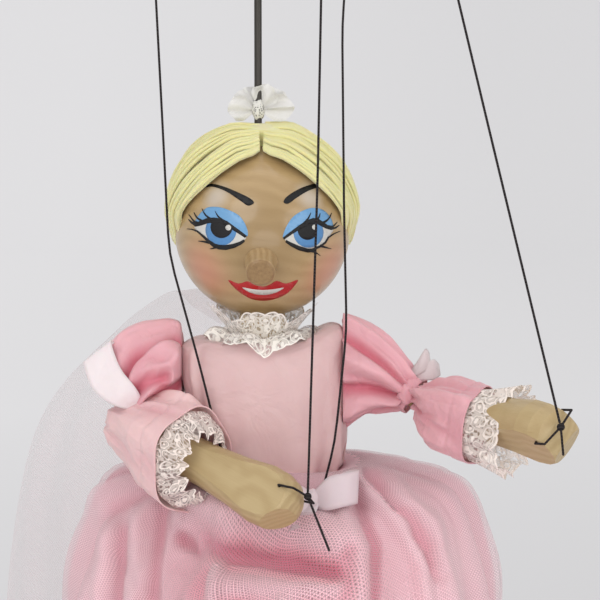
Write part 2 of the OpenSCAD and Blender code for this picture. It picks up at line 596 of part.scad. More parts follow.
module lace_cuff(elbow, dir, from, to, ra, rb, side) color("ivory") puppet() {
    p = elbow + side * unit(cross([0, 0, 1], dir));
    shell_skin([for (r = [[from, 0, 0], [mix(from, to, 0.5), 0.8, 0.6], [to, 1.2, 1.4],
        [to, 0.4, 1.4], [mix(from, to, 0.5), 0, 0.6], [from, -0.8, 0]])
        frill(p + dir * r[0], dir, ra + r[1], rb + r[1], r[2])]);
}

// Ribbon tied around the lower end of an upper sleeve, with its bow turned to one side
module sleeve_bow(elbow, dir, pin_dir, turn, w, h) color("white") puppet() aim(elbow, dir, pin_dir) {
    difference() {
        union() {
            translate([0, 0, -sleeve_end + 0.2]) cylinder(r = 7.1, h = 2.2);
            rotate([0, 0, turn]) translate([0, 10.5, -sleeve_end + 1.3]) rotate([-90, 0, 0]) bow(w, h, 1.7);
        }
        translate([0, 0, -sleeve_end - 1]) cylinder(r = elbow_r + 0.5, h = 5);
    }
}

// Bead that stops a string on the bar
module string_bead(route) color("sienna") translate([route[0].x, route[0].y, bar_top + bead_d / 2]) difference() {
    sphere(d = bead_d);
    cylinder(d = thread_d + 0.1, h = 2 * bead_d, center = true);
}

module knot(route, n = 24) translate(route[len(route) - 1]) sphere(d = knot_d, $fn = n);

// Knot of a hand string, its loop through the hand and its loose end
module hand_knot(route, tail, elbow, dir, pin_dir) color("black") {
    at = route[len(route) - 1];
    y = unit(cross(dir, pin_dir));
    hole = elbow + head_at + dir * hand_hole.z + y * hand_hole.y;
    side = pin_dir * (hand_t / 2 + thread_d / 2 + 0.3);
    edge = dir * (forearm_len - hand_hole.z + 0.6) - y * 1.5;
    hull() knot(route, 12);
    rod_between(at, at + tail, thread_d);
    for (s = [-1, 1]) {
        rod_between(at, hole + edge + s * side, thread_d);
        rod_between(hole + edge + s * side, hole + s * side, thread_d);
        rod_between(hole + s * side, hole + s * side / 3, thread_d);
    }
}

// Stops a string's tube at the skin of its knots
function to_knot(route) =
    let (m = len(route) - 1, end = route[m], back = unit(route[m - 1] - end))
    concat([for (k = [0 : m - 1]) route[k]], [end + back * (knot_d / 2 + 0.05)]);

module string_tube(route) color("black") thread(to_knot(route), thread_d);

// Thigh: a tongue in the hip, a turned shaft, and a fork for the knee
leg_start = 12.2;
knee_r = 6;
knee_clear = 9;

module thigh(side) color("burlywood") puppet() translate([side * leg_x, 0, hip_z]) difference() {
    union() {
        rotate([0, 90, 0]) cylinder(r = 7, h = leg_tongue, center = true);
        translate([-leg_tongue / 2, -7, -leg_start - 1]) cube([leg_tongue, 14, leg_start + 1]);
        rotate([180, 0, 0]) rotate_extrude() polygon([[0, leg_start], [7.5, leg_start], [9, leg_start + 8],
            [9.2, thigh_len / 2], [7.6, thigh_len - 16], [7.2, thigh_len - knee_clear], [0, thigh_len - knee_clear]]);
        translate([0, 0, -thigh_len]) intersection() {
            union() {
                rotate([0, 90, 0]) cylinder(r = knee_r, h = 14.4, center = true);
                translate([-7.2, -knee_r, 0]) cube([14.4, 2 * knee_r, knee_clear + 1]);
            }
            translate([0, 0, -20]) cylinder(r = 7.2, h = 40);
        }
    }
    rotate([0, 90, 0]) cylinder(d = hip_pin_d + 2 * fit, h = 40, center = true);
    translate([0, 0, -thigh_len]) {
        rotate([0, 90, 0]) cylinder(d = knee_pin_d + 2 * fit, h = 40, center = true);
        translate([0, 0, -20 + knee_r + 0.3]) cube([leg_tongue + 0.4, 40, 40], center = true);
    }
}

module knee_pin(side) color("silver") puppet() translate([side * leg_x, 0, knee_z])
    rotate([0, 90, 0]) cylinder(d = knee_pin_d, h = 13, center = true);

module shin(side) color("burlywood") puppet() translate([side * leg_x, 0, knee_z]) difference() {
    union() {
        rotate([0, 90, 0]) cylinder(r = knee_r, h = leg_tongue, center = true);
        translate([-leg_tongue / 2, -knee_r, -knee_clear - 1]) cube([leg_tongue, 2 * knee_r, knee_clear + 1]);
        rotate([180, 0, 0]) rotate_extrude() polygon([[0, knee_clear], [6.4, knee_clear], [7.8, knee_clear + 12],
            [6.6, shin_len / 2 + 8], [5, shin_len - 6], [5, shin_len - 0.05], [3, shin_len - 0.05],
            [3, shin_len + 7], [0, shin_len + 7]]);
    }
    rotate([0, 90, 0]) cylinder(d = knee_pin_d + 2 * fit, h = 40, center = true);
}

// Shoe sawn to its side outline and to its top outline, bored for the ankle's peg
module shoe(side) color("hotpink") puppet() translate([side * leg_x, 0, ankle_z]) difference() {
    intersection() {
        rotate([90, 0, 90]) linear_extrude(shoe_w, center = true) polygon([
            [-shoe_len * 0.72, -18], [-shoe_len * 0.74, -14], [-shoe_len * 0.66, -10], [-shoe_len * 0.4, -7.5],
            [-shoe_len * 0.2, -4], [-7, 0], [7, 0], [shoe_len * 0.25, -5], [shoe_len * 0.26, -18],
            [shoe_len * 0.06, -18], [shoe_len * 0.04, -15], [-shoe_len * 0.14, -16.5], [-shoe_len * 0.22, -18]]);
        translate([0, 0, -20]) linear_extrude(21) union() {
            translate([0, -shoe_len * 0.74 + shoe_w / 2]) circle(d = shoe_w);
            translate([0, shoe_len * 0.26 - shoe_w * 0.42]) circle(d = shoe_w * 0.84);
            polygon([[-shoe_w / 2, -shoe_len * 0.74 + shoe_w / 2], [shoe_w / 2, -shoe_len * 0.74 + shoe_w / 2],
                [shoe_w * 0.42, shoe_len * 0.26 - shoe_w * 0.42], [-shoe_w * 0.42, shoe_len * 0.26 - shoe_w * 0.42]]);
        }
    }
    translate([0, 0, -8]) cylinder(r = 3 + fit, h = 9);
}

control_bar();
cross_bar();
lap_screws();
head_rod();
rod_pins();
torso();
arm_pins();
hip_axle();
bodice();
skirt();
underskirt();
waist_bow();
lace_collar();
veil();
head_ball();
neck();
nose_peg();
hair();
hair_bow();
upper_arm(right, right_shoulder, right_upper_dir, right_elbow, right_pin_dir);  // right_upper_arm
elbow_pin(right_elbow, right_upper_dir, right_pin_dir);  // right_elbow_pin
right_upper_sleeve();
sleeve_bow(right_elbow, right_upper_dir, right_pin_dir, 20, 24, 22);  // right_sleeve_bow
forearm(right, right_elbow, right_fore_dir, right_pin_dir);  // right_forearm
right_lower_sleeve();
lace_cuff(right_elbow, right_fore_dir, 36, 54, cuff_r - 3.2, 12, -2);  // right_lace_cuff
upper_arm(left, left_shoulder, left_upper_dir, left_elbow, left_pin_dir);  // left_upper_arm
elbow_pin(left_elbow, left_upper_dir, left_pin_dir);  // left_elbow_pin
left_upper_sleeve();
sleeve_bow(left_elbow, left_upper_dir, left_pin_dir, 165, 16, 14);  // left_sleeve_bow
forearm(left, left_elbow, left_fore_dir, left_pin_dir);  // left_forearm
left_lower_sleeve();
lace_cuff(left_elbow, left_fore_dir, 31, 47, 12.2, 16.6, 0);  // left_lace_cuff
string_tube(right_hand_route);  // right_hand_string
string_bead(right_hand_route);  // right_hand_bead
hand_knot(right_hand_route, right_hand_tail, right_elbow, right_fore_dir, right_pin_dir);  // right_hand_knot
string_tube(left_hand_route);  // left_hand_string
string_bead(left_hand_route);  // left_hand_bead
hand_knot(left_hand_route, left_hand_tail, left_elbow, left_fore_dir, left_pin_dir);  // left_hand_knot
thigh(right);  // right_thigh
knee_pin(right);  // right_knee_pin
shin(right);  // right_shin
shoe(right);  // right_shoe
thigh(left);  // left_thigh
knee_pin(left);  // left_knee_pin
shin(left);  // left_shin
shoe(left);  // left_shoe
string_tube(right_knee_route);  // right_knee_string
string_bead(right_knee_route);  // right_knee_bead
color("black") knot(right_knee_route);  // right_knee_knot
string_tube(left_knee_route);  // left_knee_string
string_bead(left_knee_route);  // left_knee_bead
color("black") knot(left_knee_route);  // left_knee_knot
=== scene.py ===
import math
import random

import bmesh
import bpy
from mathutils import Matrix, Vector, noise


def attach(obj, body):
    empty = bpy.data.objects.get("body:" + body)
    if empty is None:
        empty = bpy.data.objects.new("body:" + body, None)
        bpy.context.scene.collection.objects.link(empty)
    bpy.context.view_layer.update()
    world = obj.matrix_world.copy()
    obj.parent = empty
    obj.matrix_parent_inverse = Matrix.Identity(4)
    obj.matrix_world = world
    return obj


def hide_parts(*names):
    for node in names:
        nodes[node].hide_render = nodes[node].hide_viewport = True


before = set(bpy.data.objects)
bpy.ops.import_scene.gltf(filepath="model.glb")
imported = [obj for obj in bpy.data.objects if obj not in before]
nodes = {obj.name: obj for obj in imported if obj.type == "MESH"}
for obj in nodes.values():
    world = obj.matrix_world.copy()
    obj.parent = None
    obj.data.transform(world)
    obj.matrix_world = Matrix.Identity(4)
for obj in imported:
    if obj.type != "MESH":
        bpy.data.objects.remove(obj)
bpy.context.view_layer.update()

rng = random.Random(7)
MM = 0.001

# Sizes that the dress and the strings share with the solids
HEAD = Vector((1.6, 0, -285))
BALL_R = 35.0
HAIR_TOP = 9.3
HAIR_SIDE = 4.8
NECK_R = 10.4
WAIST_Z = -95.0
HEM_Z = -200.0
SKIRT_R = 84.0
CLOTH_X = 33.0
ARM_X = 33.3
EYE_MID = 36.3
SHOULDER_Z = -50.0
UPPER_ARM = 33.5
THREAD_D = 0.9
CUFF_R = 20.5
PUFF_R = 19.0


def unit(x, y, z):
    return Vector((x, y, z)).normalized()


RIGHT_UPPER = unit(-17, -8, -28)
LEFT_UPPER = unit(26, -12, -17)
RIGHT_FORE = unit(65, -56, -23)
LEFT_FORE = unit(45, -70, -3)
RIGHT_ELBOW = Vector((-EYE_MID, 0, SHOULDER_Z)) + UPPER_ARM * RIGHT_UPPER
LEFT_ELBOW = Vector((EYE_MID, 0, SHOULDER_Z)) + UPPER_ARM * LEFT_UPPER


def place(x, y, z):
    """A point in millimetres from the centre of the head, in the frame."""
    return (Vector((x, y, z)) + HEAD) * MM


def mix(a, b, t):
    return a + (b - a) * t


def limit(t):
    """t kept from 0 to 1."""
    return min(1, max(0, t))


def smooth_step(t):
    t = limit(t)
    return t * t * (3 - 2 * t)


def smooth_line(a, b, c, d, s):
    """The value at s, from b at 0 to c at 1, on a smooth line through a, b, c and d."""
    return b + s * ((c - a) / 2 + s * ((2 * a - 5 * b + 4 * c - d) / 2 + s * (3 * b - a - 3 * c + d) / 2))


def around_step(rows, t):
    """The four rows around t, and how far t is between the middle two."""
    last = len(rows) - 1
    k = min(int(t * last), last - 1)
    return rows[max(k - 1, 0)], rows[k], rows[k + 1], rows[min(k + 2, last)], t * last - k


def through(points, t):
    """The point at t, from 0 to 1, on a smooth line through the points."""
    return smooth_line(*around_step([Vector(p) for p in points], t))


def table_at(rows, t):
    """One row of numbers at t on smooth lines through a table's columns."""
    *four, s = around_step(rows, t)
    return [smooth_line(*column, s) for column in zip(*four)]


def wobble(*place_of):
    """Smooth noise from -1 to 1 at a place."""
    return noise.noise(Vector((*place_of, 0, 0)[:3]))


# Short calls for shader nodes
def node(tree, kind, values=None, **settings):
    """A new shader node; a socket among the values is linked, anything else is set."""
    made = tree.nodes.new(kind)
    for key, value in settings.items():
        setattr(made, key, value)
    for key, value in (values or {}).items():
        if isinstance(value, bpy.types.NodeSocket):
            tree.links.new(value, made.inputs[key])
        else:
            made.inputs[key].default_value = value
    return made


def maths(tree, operation, a, b=0.0, c=0.0, clamp=False):
    return node(tree, "ShaderNodeMath", {0: a, 1: b, 2: c}, operation=operation, use_clamp=clamp).outputs[0]


def times(tree, a, b, clamp=False):
    return maths(tree, "MULTIPLY", a, b, clamp=clamp)


def plus(tree, a, b):
    return maths(tree, "ADD", a, b)


def minus(tree, a, b):
    return maths(tree, "SUBTRACT", a, b)


def most(tree, a, b):
    return maths(tree, "MAXIMUM", a, b)


def times_plus(tree, a, b, c):
    """a times b, plus c."""
    return maths(tree, "MULTIPLY_ADD", a, b, c)


def between(tree, value, start, end, low=0.0, high=1.0, **settings):
    """low up to where value is start, high from where it is end."""
    return node(tree, "ShaderNodeMapRange", {"Value": value, "From Min": start, "From Max": end,
                                             "To Min": low, "To Max": high}, **settings).outputs[0]


def split(tree, vector):
    """The x and y of a vector."""
    return node(tree, "ShaderNodeSeparateXYZ", {0: vector}).outputs[:2]


def soft_noise(tree, vector, scale, detail, output=0, **more):
    values = {"Vector": vector, "Scale": scale, "Detail": detail, **more}
    return node(tree, "ShaderNodeTexNoise", values).outputs[output]


def cells(tree, vector, scale, loose=0.7):
    """The distance to the nearest of many scattered dots."""
    return node(tree, "ShaderNodeTexVoronoi", {"Vector": vector, "Scale": scale,
                                               "Randomness": loose}).outputs["Distance"]


def bent(tree, vector, scale, detail, reach):
    """A vector pushed about by smooth noise."""
    push = soft_noise(tree, vector, scale, detail, "Color")
    push = node(tree, "ShaderNodeVectorMath", {0: push, "Scale": reach}, operation="SCALE").outputs[0]
    return node(tree, "ShaderNodeVectorMath", {0: vector, 1: push}, operation="ADD").outputs[0]


def mixed(tree, share, a, b):
    """Colour a turned to colour b by share."""
    return node(tree, "ShaderNodeMix", {0: share, 6: a, 7: b}, data_type="RGBA").outputs[2]


def feed(tree, sockets, **values):
    """Links each value to the socket of its name, with _ for a space."""
    for key, value in values.items():
        tree.links.new(value, sockets[key.replace("_", " ")])


def paint(r, g, b):
    """A colour given as it shows on a screen, from 0 to 255, as the shader wants it."""
    shares = [c / 255 for c in (r, g, b)]
    return tuple(((s + 0.055) / 1.055) ** 2.4 if s > 10 / 255 else s / 12.92 for s in shares) + (1.0,)


def shaded(colour, share):
    """A colour made darker, or with a share above 1 lighter."""
    return tuple(min(1, c * share) for c in colour[:3]) + (1,)


# Camera, lamps and stage
AIM = Vector((16.6, 0, -313.6)) * MM
ELEVATION = math.radians(5.5)
DISTANCE = 0.85
LENS = 127.5
SENSOR = 36
FORWARD = Vector((0, math.cos(ELEVATION), -math.sin(ELEVATION)))
UP = Vector((0, math.sin(ELEVATION), math.cos(ELEVATION)))
EYE = AIM - FORWARD * DISTANCE
BACKGROUND = (0.735, 0.728, 0.742, 1)
PAPER = (0.8, 0.8, 0.81, 1)
ROOM_LIGHT = 0.74
FLOOR_Z = -0.62
FLOOR_FRONT = -4.0
FLOOR_BACK = 4.6
BEND_R = 0.8
WALL_TOP = 5.0
HALF_STAGE = 7

# Lamps: name, place, target, size in metres and power in watts
LAMPS = [("key", (-0.55, -1.15, 0.35), (0, 0, -0.32), 0.9, 5.4),
         ("fill", (0.95, -0.9, -0.05), (0, 0, -0.34), 0.8, 2.6),
         ("top", (0.1, 0.1, 0.75), (0, 0, -0.3), 0.7, 1.2),
         ("low", (0.1, -1.0, -0.58), (0, 0, -0.32), 0.7, 2.2)]


def new_object(name, data, material=None):
    made = bpy.data.objects.new(name, data)
    bpy.context.scene.collection.objects.link(made)
    if material:
        data.materials.append(material)
    return made


def aim(made, location, direction):
    made.location = location
    made.rotation_mode = "QUATERNION"
    made.rotation_quaternion = direction.to_track_quat("-Z", "Y")


def make_camera():
    data = bpy.data.cameras.new("camera")
    data.lens = LENS
    data.sensor_width = SENSOR
    data.clip_start = 0.05
    data.clip_end = 20
    camera = new_object("camera", data)
    aim(camera, EYE, FORWARD)
    bpy.context.scene.camera = camera


def add_lamp(name, location, target, size, power):
    data = bpy.data.lights.new(name, "AREA")
    data.shape = "DISK"
    data.size = size
    data.energy = power
    aim(new_object(name, data), location, Vector(target) - Vector(location))


def shade_smooth(mesh):
    for face in mesh.polygons:
        face.use_smooth = True


def seen_and_reflected(tree):
    """1 for what the camera, a mirror or glass sees of the stage."""
    path = node(tree, "ShaderNodeLightPath").outputs
    return most(tree, most(tree, path["Is Camera Ray"], path["Is Glossy Ray"]), path["Is Transmission Ray"])


def stage_material():
    """Pale paper, with painted shade that makes it a little darker near the viewer and to the right."""
    material = bpy.data.materials.new("pale_paper")
    material.use_nodes = True
    tree = material.node_tree
    tree.nodes.clear()
    paper = node(tree, "ShaderNodeBsdfDiffuse", {"Color": PAPER})
    x, y = split(tree, node(tree, "ShaderNodeTexCoord").outputs["Object"])
    # Painted shade: the paper's glow falls off towards the viewer and to the right.
    near = between(tree, y, 0.5, 1.75, 0.88, 1.02)
    side = between(tree, x, -0.6, 0.6, 1.06, 0.97)
    light = node(tree, "ShaderNodeEmission", {"Color": BACKGROUND, "Strength": times(tree, near, side)})
    share = times(tree, seen_and_reflected(tree), 0.8)
    both = node(tree, "ShaderNodeMixShader", {0: share, 1: paper.outputs[0], 2: light.outputs[0]})
    node(tree, "ShaderNodeOutputMaterial", {"Surface": both.outputs[0]})
    return material


def make_stage():
    """A sheet of paper: a floor under the puppet that curves up far behind it."""
    bm = bmesh.new()
    edge = bm.edges.new([bm.verts.new((x, FLOOR_FRONT, FLOOR_Z)) for x in (-HALF_STAGE, HALF_STAGE)])
    spots = [(FLOOR_BACK, FLOOR_Z)]
    for a in [math.radians(k) for k in range(10, 91, 10)]:
        spots.append((FLOOR_BACK + BEND_R * math.sin(a), FLOOR_Z + BEND_R - BEND_R * math.cos(a)))
    spots.append((FLOOR_BACK + BEND_R, WALL_TOP))
    for y, z in spots:
        made = bmesh.ops.extrude_edge_only(bm, edges=[edge])["geom"]
        edge = [g for g in made if isinstance(g, bmesh.types.BMEdge)][0]
        for v in edge.verts:
            v.co.y, v.co.z = y, z
    mesh = bpy.data.meshes.new("backdrop")
    bmesh.ops.recalc_face_normals(bm, faces=bm.faces[:])
    bm.to_mesh(mesh)
    bm.free()
    shade_smooth(mesh)
    new_object("backdrop", mesh, stage_material())


def light_the_world():
    world = bpy.data.worlds.new("studio")
    bpy.context.scene.world = world
    world.use_nodes = True
    tree = world.node_tree
    tree.nodes.clear()
    room = node(tree, "ShaderNodeBackground", {"Color": (1, 0.99, 0.98, 1), "Strength": ROOM_LIGHT})
    wall = node(tree, "ShaderNodeBackground", {"Color": BACKGROUND, "Strength": 1.0})
    share = seen_and_reflected(tree)
    both = node(tree, "ShaderNodeMixShader", {0: share, 1: room.outputs[0], 2: wall.outputs[0]})
    node(tree, "ShaderNodeOutputWorld", {"Surface": both.outputs[0]})


bpy.context.scene.view_settings.view_transform = "Standard"
make_camera()
make_stage()
light_the_world()
for lamp in LAMPS:
    add_lamp(*lamp)


def ride(piece, body, slot_name, *stands_for):
    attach(piece, body)
    if stands_for:
        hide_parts(*stands_for)
    return piece


# Strings, in millimetres from the hanging hole
FOREARM = 90.0
TIE_OUT = 2.38
TIE_UP = 6.92
STRING_TOP = -3.0
HOLE_END = -18
KNOT_D = 3.0
KNOT_GAP = 0.05


def hand_tie(elbow, upper, fore):
    """Where a hand string is knotted over the end of the hand."""
    pin = upper.cross(fore).normalized()
    return HEAD + elbow + fore * (FOREARM + TIE_OUT) - TIE_UP * fore.cross(pin).normalized()


RIGHT_TIE = hand_tie(RIGHT_ELBOW, RIGHT_UPPER, RIGHT_FORE)
LEFT_TIE = hand_tie(LEFT_ELBOW, LEFT_UPPER, LEFT_FORE)
ROUTES = {
    "right_hand": [(24, -56, STRING_TOP), (24, -56, HOLE_END), (24.6, -57, -60), (25.2, -59, -150),
                   RIGHT_TIE + Vector((3.7, 3, 121)), RIGHT_TIE],
    "left_hand": [(31, -52, STRING_TOP), (31, -52, HOLE_END), (38, -55.5, -50), (57.5, -65.5, -130),
                  LEFT_TIE + Vector((-26, 13.5, 108.5)), LEFT_TIE],
    "right_knee": [(-50, -25, STRING_TOP), (-50, -25, HOLE_END), (-42, -26, -120), (-36.4, -26.5, -240),
                   (-34, -27, -293), (-23, -23.5, -335), (-13.2, -19.6, -376), (-10.4, -9, -463)],
    "left_knee": [(50, 25, STRING_TOP), (50, 25, HOLE_END), (45, 13, -80), (38, 0, -140), (33, -14, -205),
                  (33.5, -32, -277), (34.5, -35, -322), (30, -38, -365), (24, -32, -390), (13.6, -9, -463)]}
BEND_SHARE = 0.25
BEND_LONG = 8 * MM


def string_points(route):
    """The route with its bends rounded, ending at the skin of its knot."""
    rows = [Vector(p) * MM for p in route]
    rows[-1] = rows[-1] + (rows[-2] - rows[-1]).normalized() * (KNOT_D / 2 + KNOT_GAP) * MM
    points = [rows[0]]
    for last, p, following in zip(rows, rows[1:], rows[2:]):
        before, after = [p + (q - p) * min(BEND_SHARE, BEND_LONG / (q - p).length) for q in (last, following)]
        points += [before, (before + 2 * p + after) / 4, after]
    return points + [rows[-1]]


def make_string(name, route, body, node_name, material):
    points = string_points(route)
    curve = bpy.data.curves.new(name, "CURVE")
    curve.dimensions = "3D"
    curve.bevel_depth = THREAD_D / 2 * MM
    curve.bevel_resolution = 2
    curve.use_fill_caps = True
    spline = curve.splines.new("POLY")
    spline.points.add(len(points) - 1)
    for slot_point, p in zip(spline.points, points):
        slot_point.co = (*p, 1)
    made = ride(new_object(name, curve, material), body, "thread", node_name)


# Shader groups that several finishes share
def group(name, inputs, outputs):
    """An empty shader group, and the sockets inside it for its inputs and outputs."""
    tree = bpy.data.node_groups.new(name, "ShaderNodeTree")
    for in_out, sockets in (("INPUT", inputs), ("OUTPUT", outputs)):
        for label, kind in sockets.items():
            tree.interface.new_socket(label, in_out=in_out, socket_type="NodeSocket" + kind)
    return tree, tree.nodes.new("NodeGroupInput").outputs, tree.nodes.new("NodeGroupOutput").inputs


def wood_group():
    """Growth rings and fibres along Z, in two tones, with pores."""
    tree, take, give = group("Wood grain",
                             {"Vector": "Vector", "Light": "Color", "Dark": "Color", "Ring spacing": "Float"},
                             {"Color": "Color", "Height": "Float", "Roughness": "Float"})
    moved = bent(tree, take["Vector"], 40.0, 2.0, 0.012)
    flat = node(tree, "ShaderNodeMapping", {"Vector": moved, "Scale": (1, 1, 0.12)}).outputs[0]
    pitch = maths(tree, "DIVIDE", 314.0, take["Ring spacing"])
    rings = node(tree, "ShaderNodeTexWave", {"Vector": flat, "Scale": pitch, "Distortion": 2.2, "Detail": 3.0,
                                             "Detail Scale": 1.4}, wave_type="BANDS").outputs["Fac"]
    long_way = node(tree, "ShaderNodeMapping", {"Vector": take["Vector"], "Scale": (1, 1, 0.035)}).outputs[0]
    fibre = soft_noise(tree, long_way, 2600.0, 3.0)
    dots = between(tree, soft_noise(tree, long_way, 900.0, 4.0), 0.62, 0.72)
    tone = times_plus(tree, rings, 0.45, times(tree, fibre, 0.5))
    tone = maths(tree, "ADD", tone, times(tree, dots, 0.22), clamp=True)
    feed(tree, give, Color=mixed(tree, tone, take["Light"], take["Dark"]), Height=times(tree, tone, -1.0),
         Roughness=times_plus(tree, fibre, 0.2, 0.3))


def weave_group():
    """Over and under threads of a plain weave, on a vector in millimetres."""
    tree, take, give = group("Plain weave", {"Vector": "Vector", "Pitch": "Float"},
                             {"Height": "Float", "Mask": "Float"})
    turns = maths(tree, "DIVIDE", math.tau, take["Pitch"])
    across, along = [maths(tree, "SINE", times(tree, part, turns)) for part in split(tree, take["Vector"])]
    height = times_plus(tree, times(tree, across, along), 0.5, 0.5)
    slub = soft_noise(tree, take["Vector"], 0.35, 4.0)
    feed(tree, give, Height=height, Mask=times_plus(tree, height, 0.4, times(tree, slub, 0.6)))


def net_group():
    """Six-sided net of thin threads, on a vector in millimetres."""
    tree, take, give = group("Six sided net",
                             {"Vector": "Vector", "Cell": "Float", "Open": "Float", "Haze": "Float"},
                             {"Alpha": "Float", "Height": "Float"})
    soft = 0.7
    turns = maths(tree, "DIVIDE", math.tau * 2 / math.sqrt(3), take["Cell"])
    x, y = [times(tree, part, turns) for part in split(tree, take["Vector"])]
    half, slope = times(tree, x, 0.5), times(tree, y, math.sqrt(3) / 2)
    waves = [maths(tree, "COSINE", a) for a in (x, plus(tree, slope, half), minus(tree, slope, half))]
    total = plus(tree, waves[0], plus(tree, waves[1], waves[2]))
    hole = between(tree, total, minus(tree, take["Open"], soft), plus(tree, take["Open"], soft))
    thread = minus(tree, 1.0, hole)
    feed(tree, give, Alpha=most(tree, thread, take["Haze"]), Height=thread)


def lace_group():
    """Outlined flowers on a fine net with eyelets, and a thick cord along the far edge."""
    tree, take, give = group("Flower lace",
                             {"Vector": "Vector", "Motif": "Float", "Depth": "Float", "Ground": "Float"},
                             {"Alpha": "Float", "Height": "Float"})
    moved = bent(tree, take["Vector"], 0.3, 1.0, 3.0)
    across, along = split(tree, take["Vector"])
    size = maths(tree, "DIVIDE", 1.0, take["Motif"])
    from_flower = cells(tree, moved, size)
    petals = between(tree, from_flower, 0.24, 0.18)
    ring = between(tree, maths(tree, "ABSOLUTE", minus(tree, from_flower, 0.44)), 0.09, 0.05)
    hole = between(tree, cells(tree, moved, times(tree, size, 3.0)), 0.48, 0.34)
    wave = maths(tree, "ABSOLUTE", maths(tree, "SINE", times(tree, across, times(tree, size, math.pi))))
    past = minus(tree, along, minus(tree, take["Depth"], times_plus(tree, wave, -1.3, 1.9)))
    edge = between(tree, maths(tree, "ABSOLUTE", past), 0.85, 0.5)
    ground = times(tree, times_plus(tree, hole, -0.7, 1.0), take["Ground"])
    solid = most(tree, times(tree, most(tree, petals, ring), 0.94), edge)
    feed(tree, give, Alpha=times(tree, most(tree, solid, ground), between(tree, past, 0.6, 0.3)),
         Height=plus(tree, solid, times(tree, hole, -0.4)))


def crease_group():
    """Small soft creases of handled cloth."""
    tree, take, give = group("Cloth creases", {"Vector": "Vector", "Size": "Float"},
                             {"Height": "Float", "Shade": "Float"})
    scale = maths(tree, "DIVIDE", 1000.0, take["Size"])
    soft = soft_noise(tree, take["Vector"], scale, 3.0, Roughness=0.45, Distortion=0.8)
    feed(tree, give, Height=times(tree, maths(tree, "ABSOLUTE", minus(tree, soft, 0.5)), 2.0), Shade=soft)


def use_group(tree, name, **values):
    """The outputs of a shader group, with its inputs set or linked by name."""
    named = {key.replace("_", " "): value for key, value in values.items()}
    return node(tree, "ShaderNodeGroup", named, node_tree=bpy.data.node_groups[name]).outputs


wood_group()
weave_group()
net_group()
lace_group()
crease_group()


# Finishes
def finish_of(name, **sockets):
    """A new material with a Principled shader, and its tree."""
    material = bpy.data.materials.new(name)
    material.use_nodes = True
    shader = material.node_tree.nodes["Principled BSDF"]
    for key, value in sockets.items():
        shader.inputs[key.replace("_", " ")].default_value = value
    return material, material.node_tree, shader


def coordinates(tree, name="Object", scale=(1, 1, 1), turn=(0, 0, 0)):
    spot = node(tree, "ShaderNodeTexCoord").outputs[name]
    return node(tree, "ShaderNodeMapping", {"Vector": spot, "Scale": scale, "Rotation": turn}).outputs[0]


def bump(tree, shader, height, distance):
    made = node(tree, "ShaderNodeBump", {"Height": height, "Distance": distance})
    feed(tree, shader.inputs, Normal=made.outputs[0])


def wood(name, light, dark, turn=(0, 0, 0), ring=4.0, coat=0.0):
    material, tree, shader = finish_of(name, Coat_Weight=coat, Coat_Roughness=0.16, Specular_IOR_Level=0.45)
    grain = use_group(tree, "Wood grain", Vector=coordinates(tree, turn=turn), Light=light, Dark=dark,
                      Ring_spacing=ring)
    feed(tree, shader.inputs, Base_Color=grain["Color"], Roughness=grain["Roughness"])
    bump(tree, shader, grain["Height"], 0.00012)
    return material


def around(tree, vector, centre, near, far):
    """1 within near of a place, falling to 0 at far, in metres."""
    away = node(tree, "ShaderNodeVectorMath", {0: vector, 1: centre}, operation="DISTANCE").outputs["Value"]
    return between(tree, away, far, near, interpolation_type="SMOOTHSTEP")


def metal(name, colour, rough):
    material, tree, shader = finish_of(name, Metallic=1.0)
    scratch = soft_noise(tree, coordinates(tree, scale=(1, 1, 0.05)), 2200.0, 3.0)
    feed(tree, shader.inputs, Base_Color=mixed(tree, scratch, colour, shaded(colour, 0.72)),
         Roughness=times_plus(tree, scratch, 0.25, rough))
    bump(tree, shader, scratch, 0.00002)
    return material


def painted_fold_shade(tree, colour, light, painted_hollow_shade):
    """Paints light and shade into a cloth's colour: a painted highlight on the folds and painted shade,
    deeper in colour, in the hollows.
    """
    rise = node(tree, "ShaderNodeAttribute", attribute_name="rise").outputs["Fac"]
    down = times(tree, rise, -1.0, clamp=True)
    up = times(tree, rise, 0.7, clamp=True)
    return mixed(tree, up, mixed(tree, down, colour, painted_hollow_shade), light)


def satin(name, light, deep, pitch=0.45, sheen=0.25, rough=0.45, crease=9.0, crease_height=0.0008,
          painted_hollow_shade=None):
    """Woven cloth with a soft shine, on a UV map in millimetres."""
    material, tree, shader = finish_of(name, Sheen_Weight=sheen, Sheen_Roughness=0.4, Specular_IOR_Level=0.35,
                                       Subsurface_Weight=0.06, Subsurface_Scale=0.002)
    weave = use_group(tree, "Plain weave", Vector=coordinates(tree, "UV"), Pitch=pitch)
    folds = use_group(tree, "Cloth creases", Vector=coordinates(tree), Size=crease)
    share = times_plus(tree, weave["Mask"], 0.45, times(tree, folds["Shade"], 0.55))
    colour = mixed(tree, share, light, deep)
    # Painted shade in the hollows of the folds and a painted highlight on their tops.
    if painted_hollow_shade:
        colour = painted_fold_shade(tree, colour, shaded(light, 1.1), painted_hollow_shade)
    feed(tree, shader.inputs, Base_Color=colour, Roughness=times_plus(tree, weave["Height"], 0.12, rough))
    bump(tree, shader, times_plus(tree, weave["Height"], 0.06, folds["Height"]), crease_height)
    return material


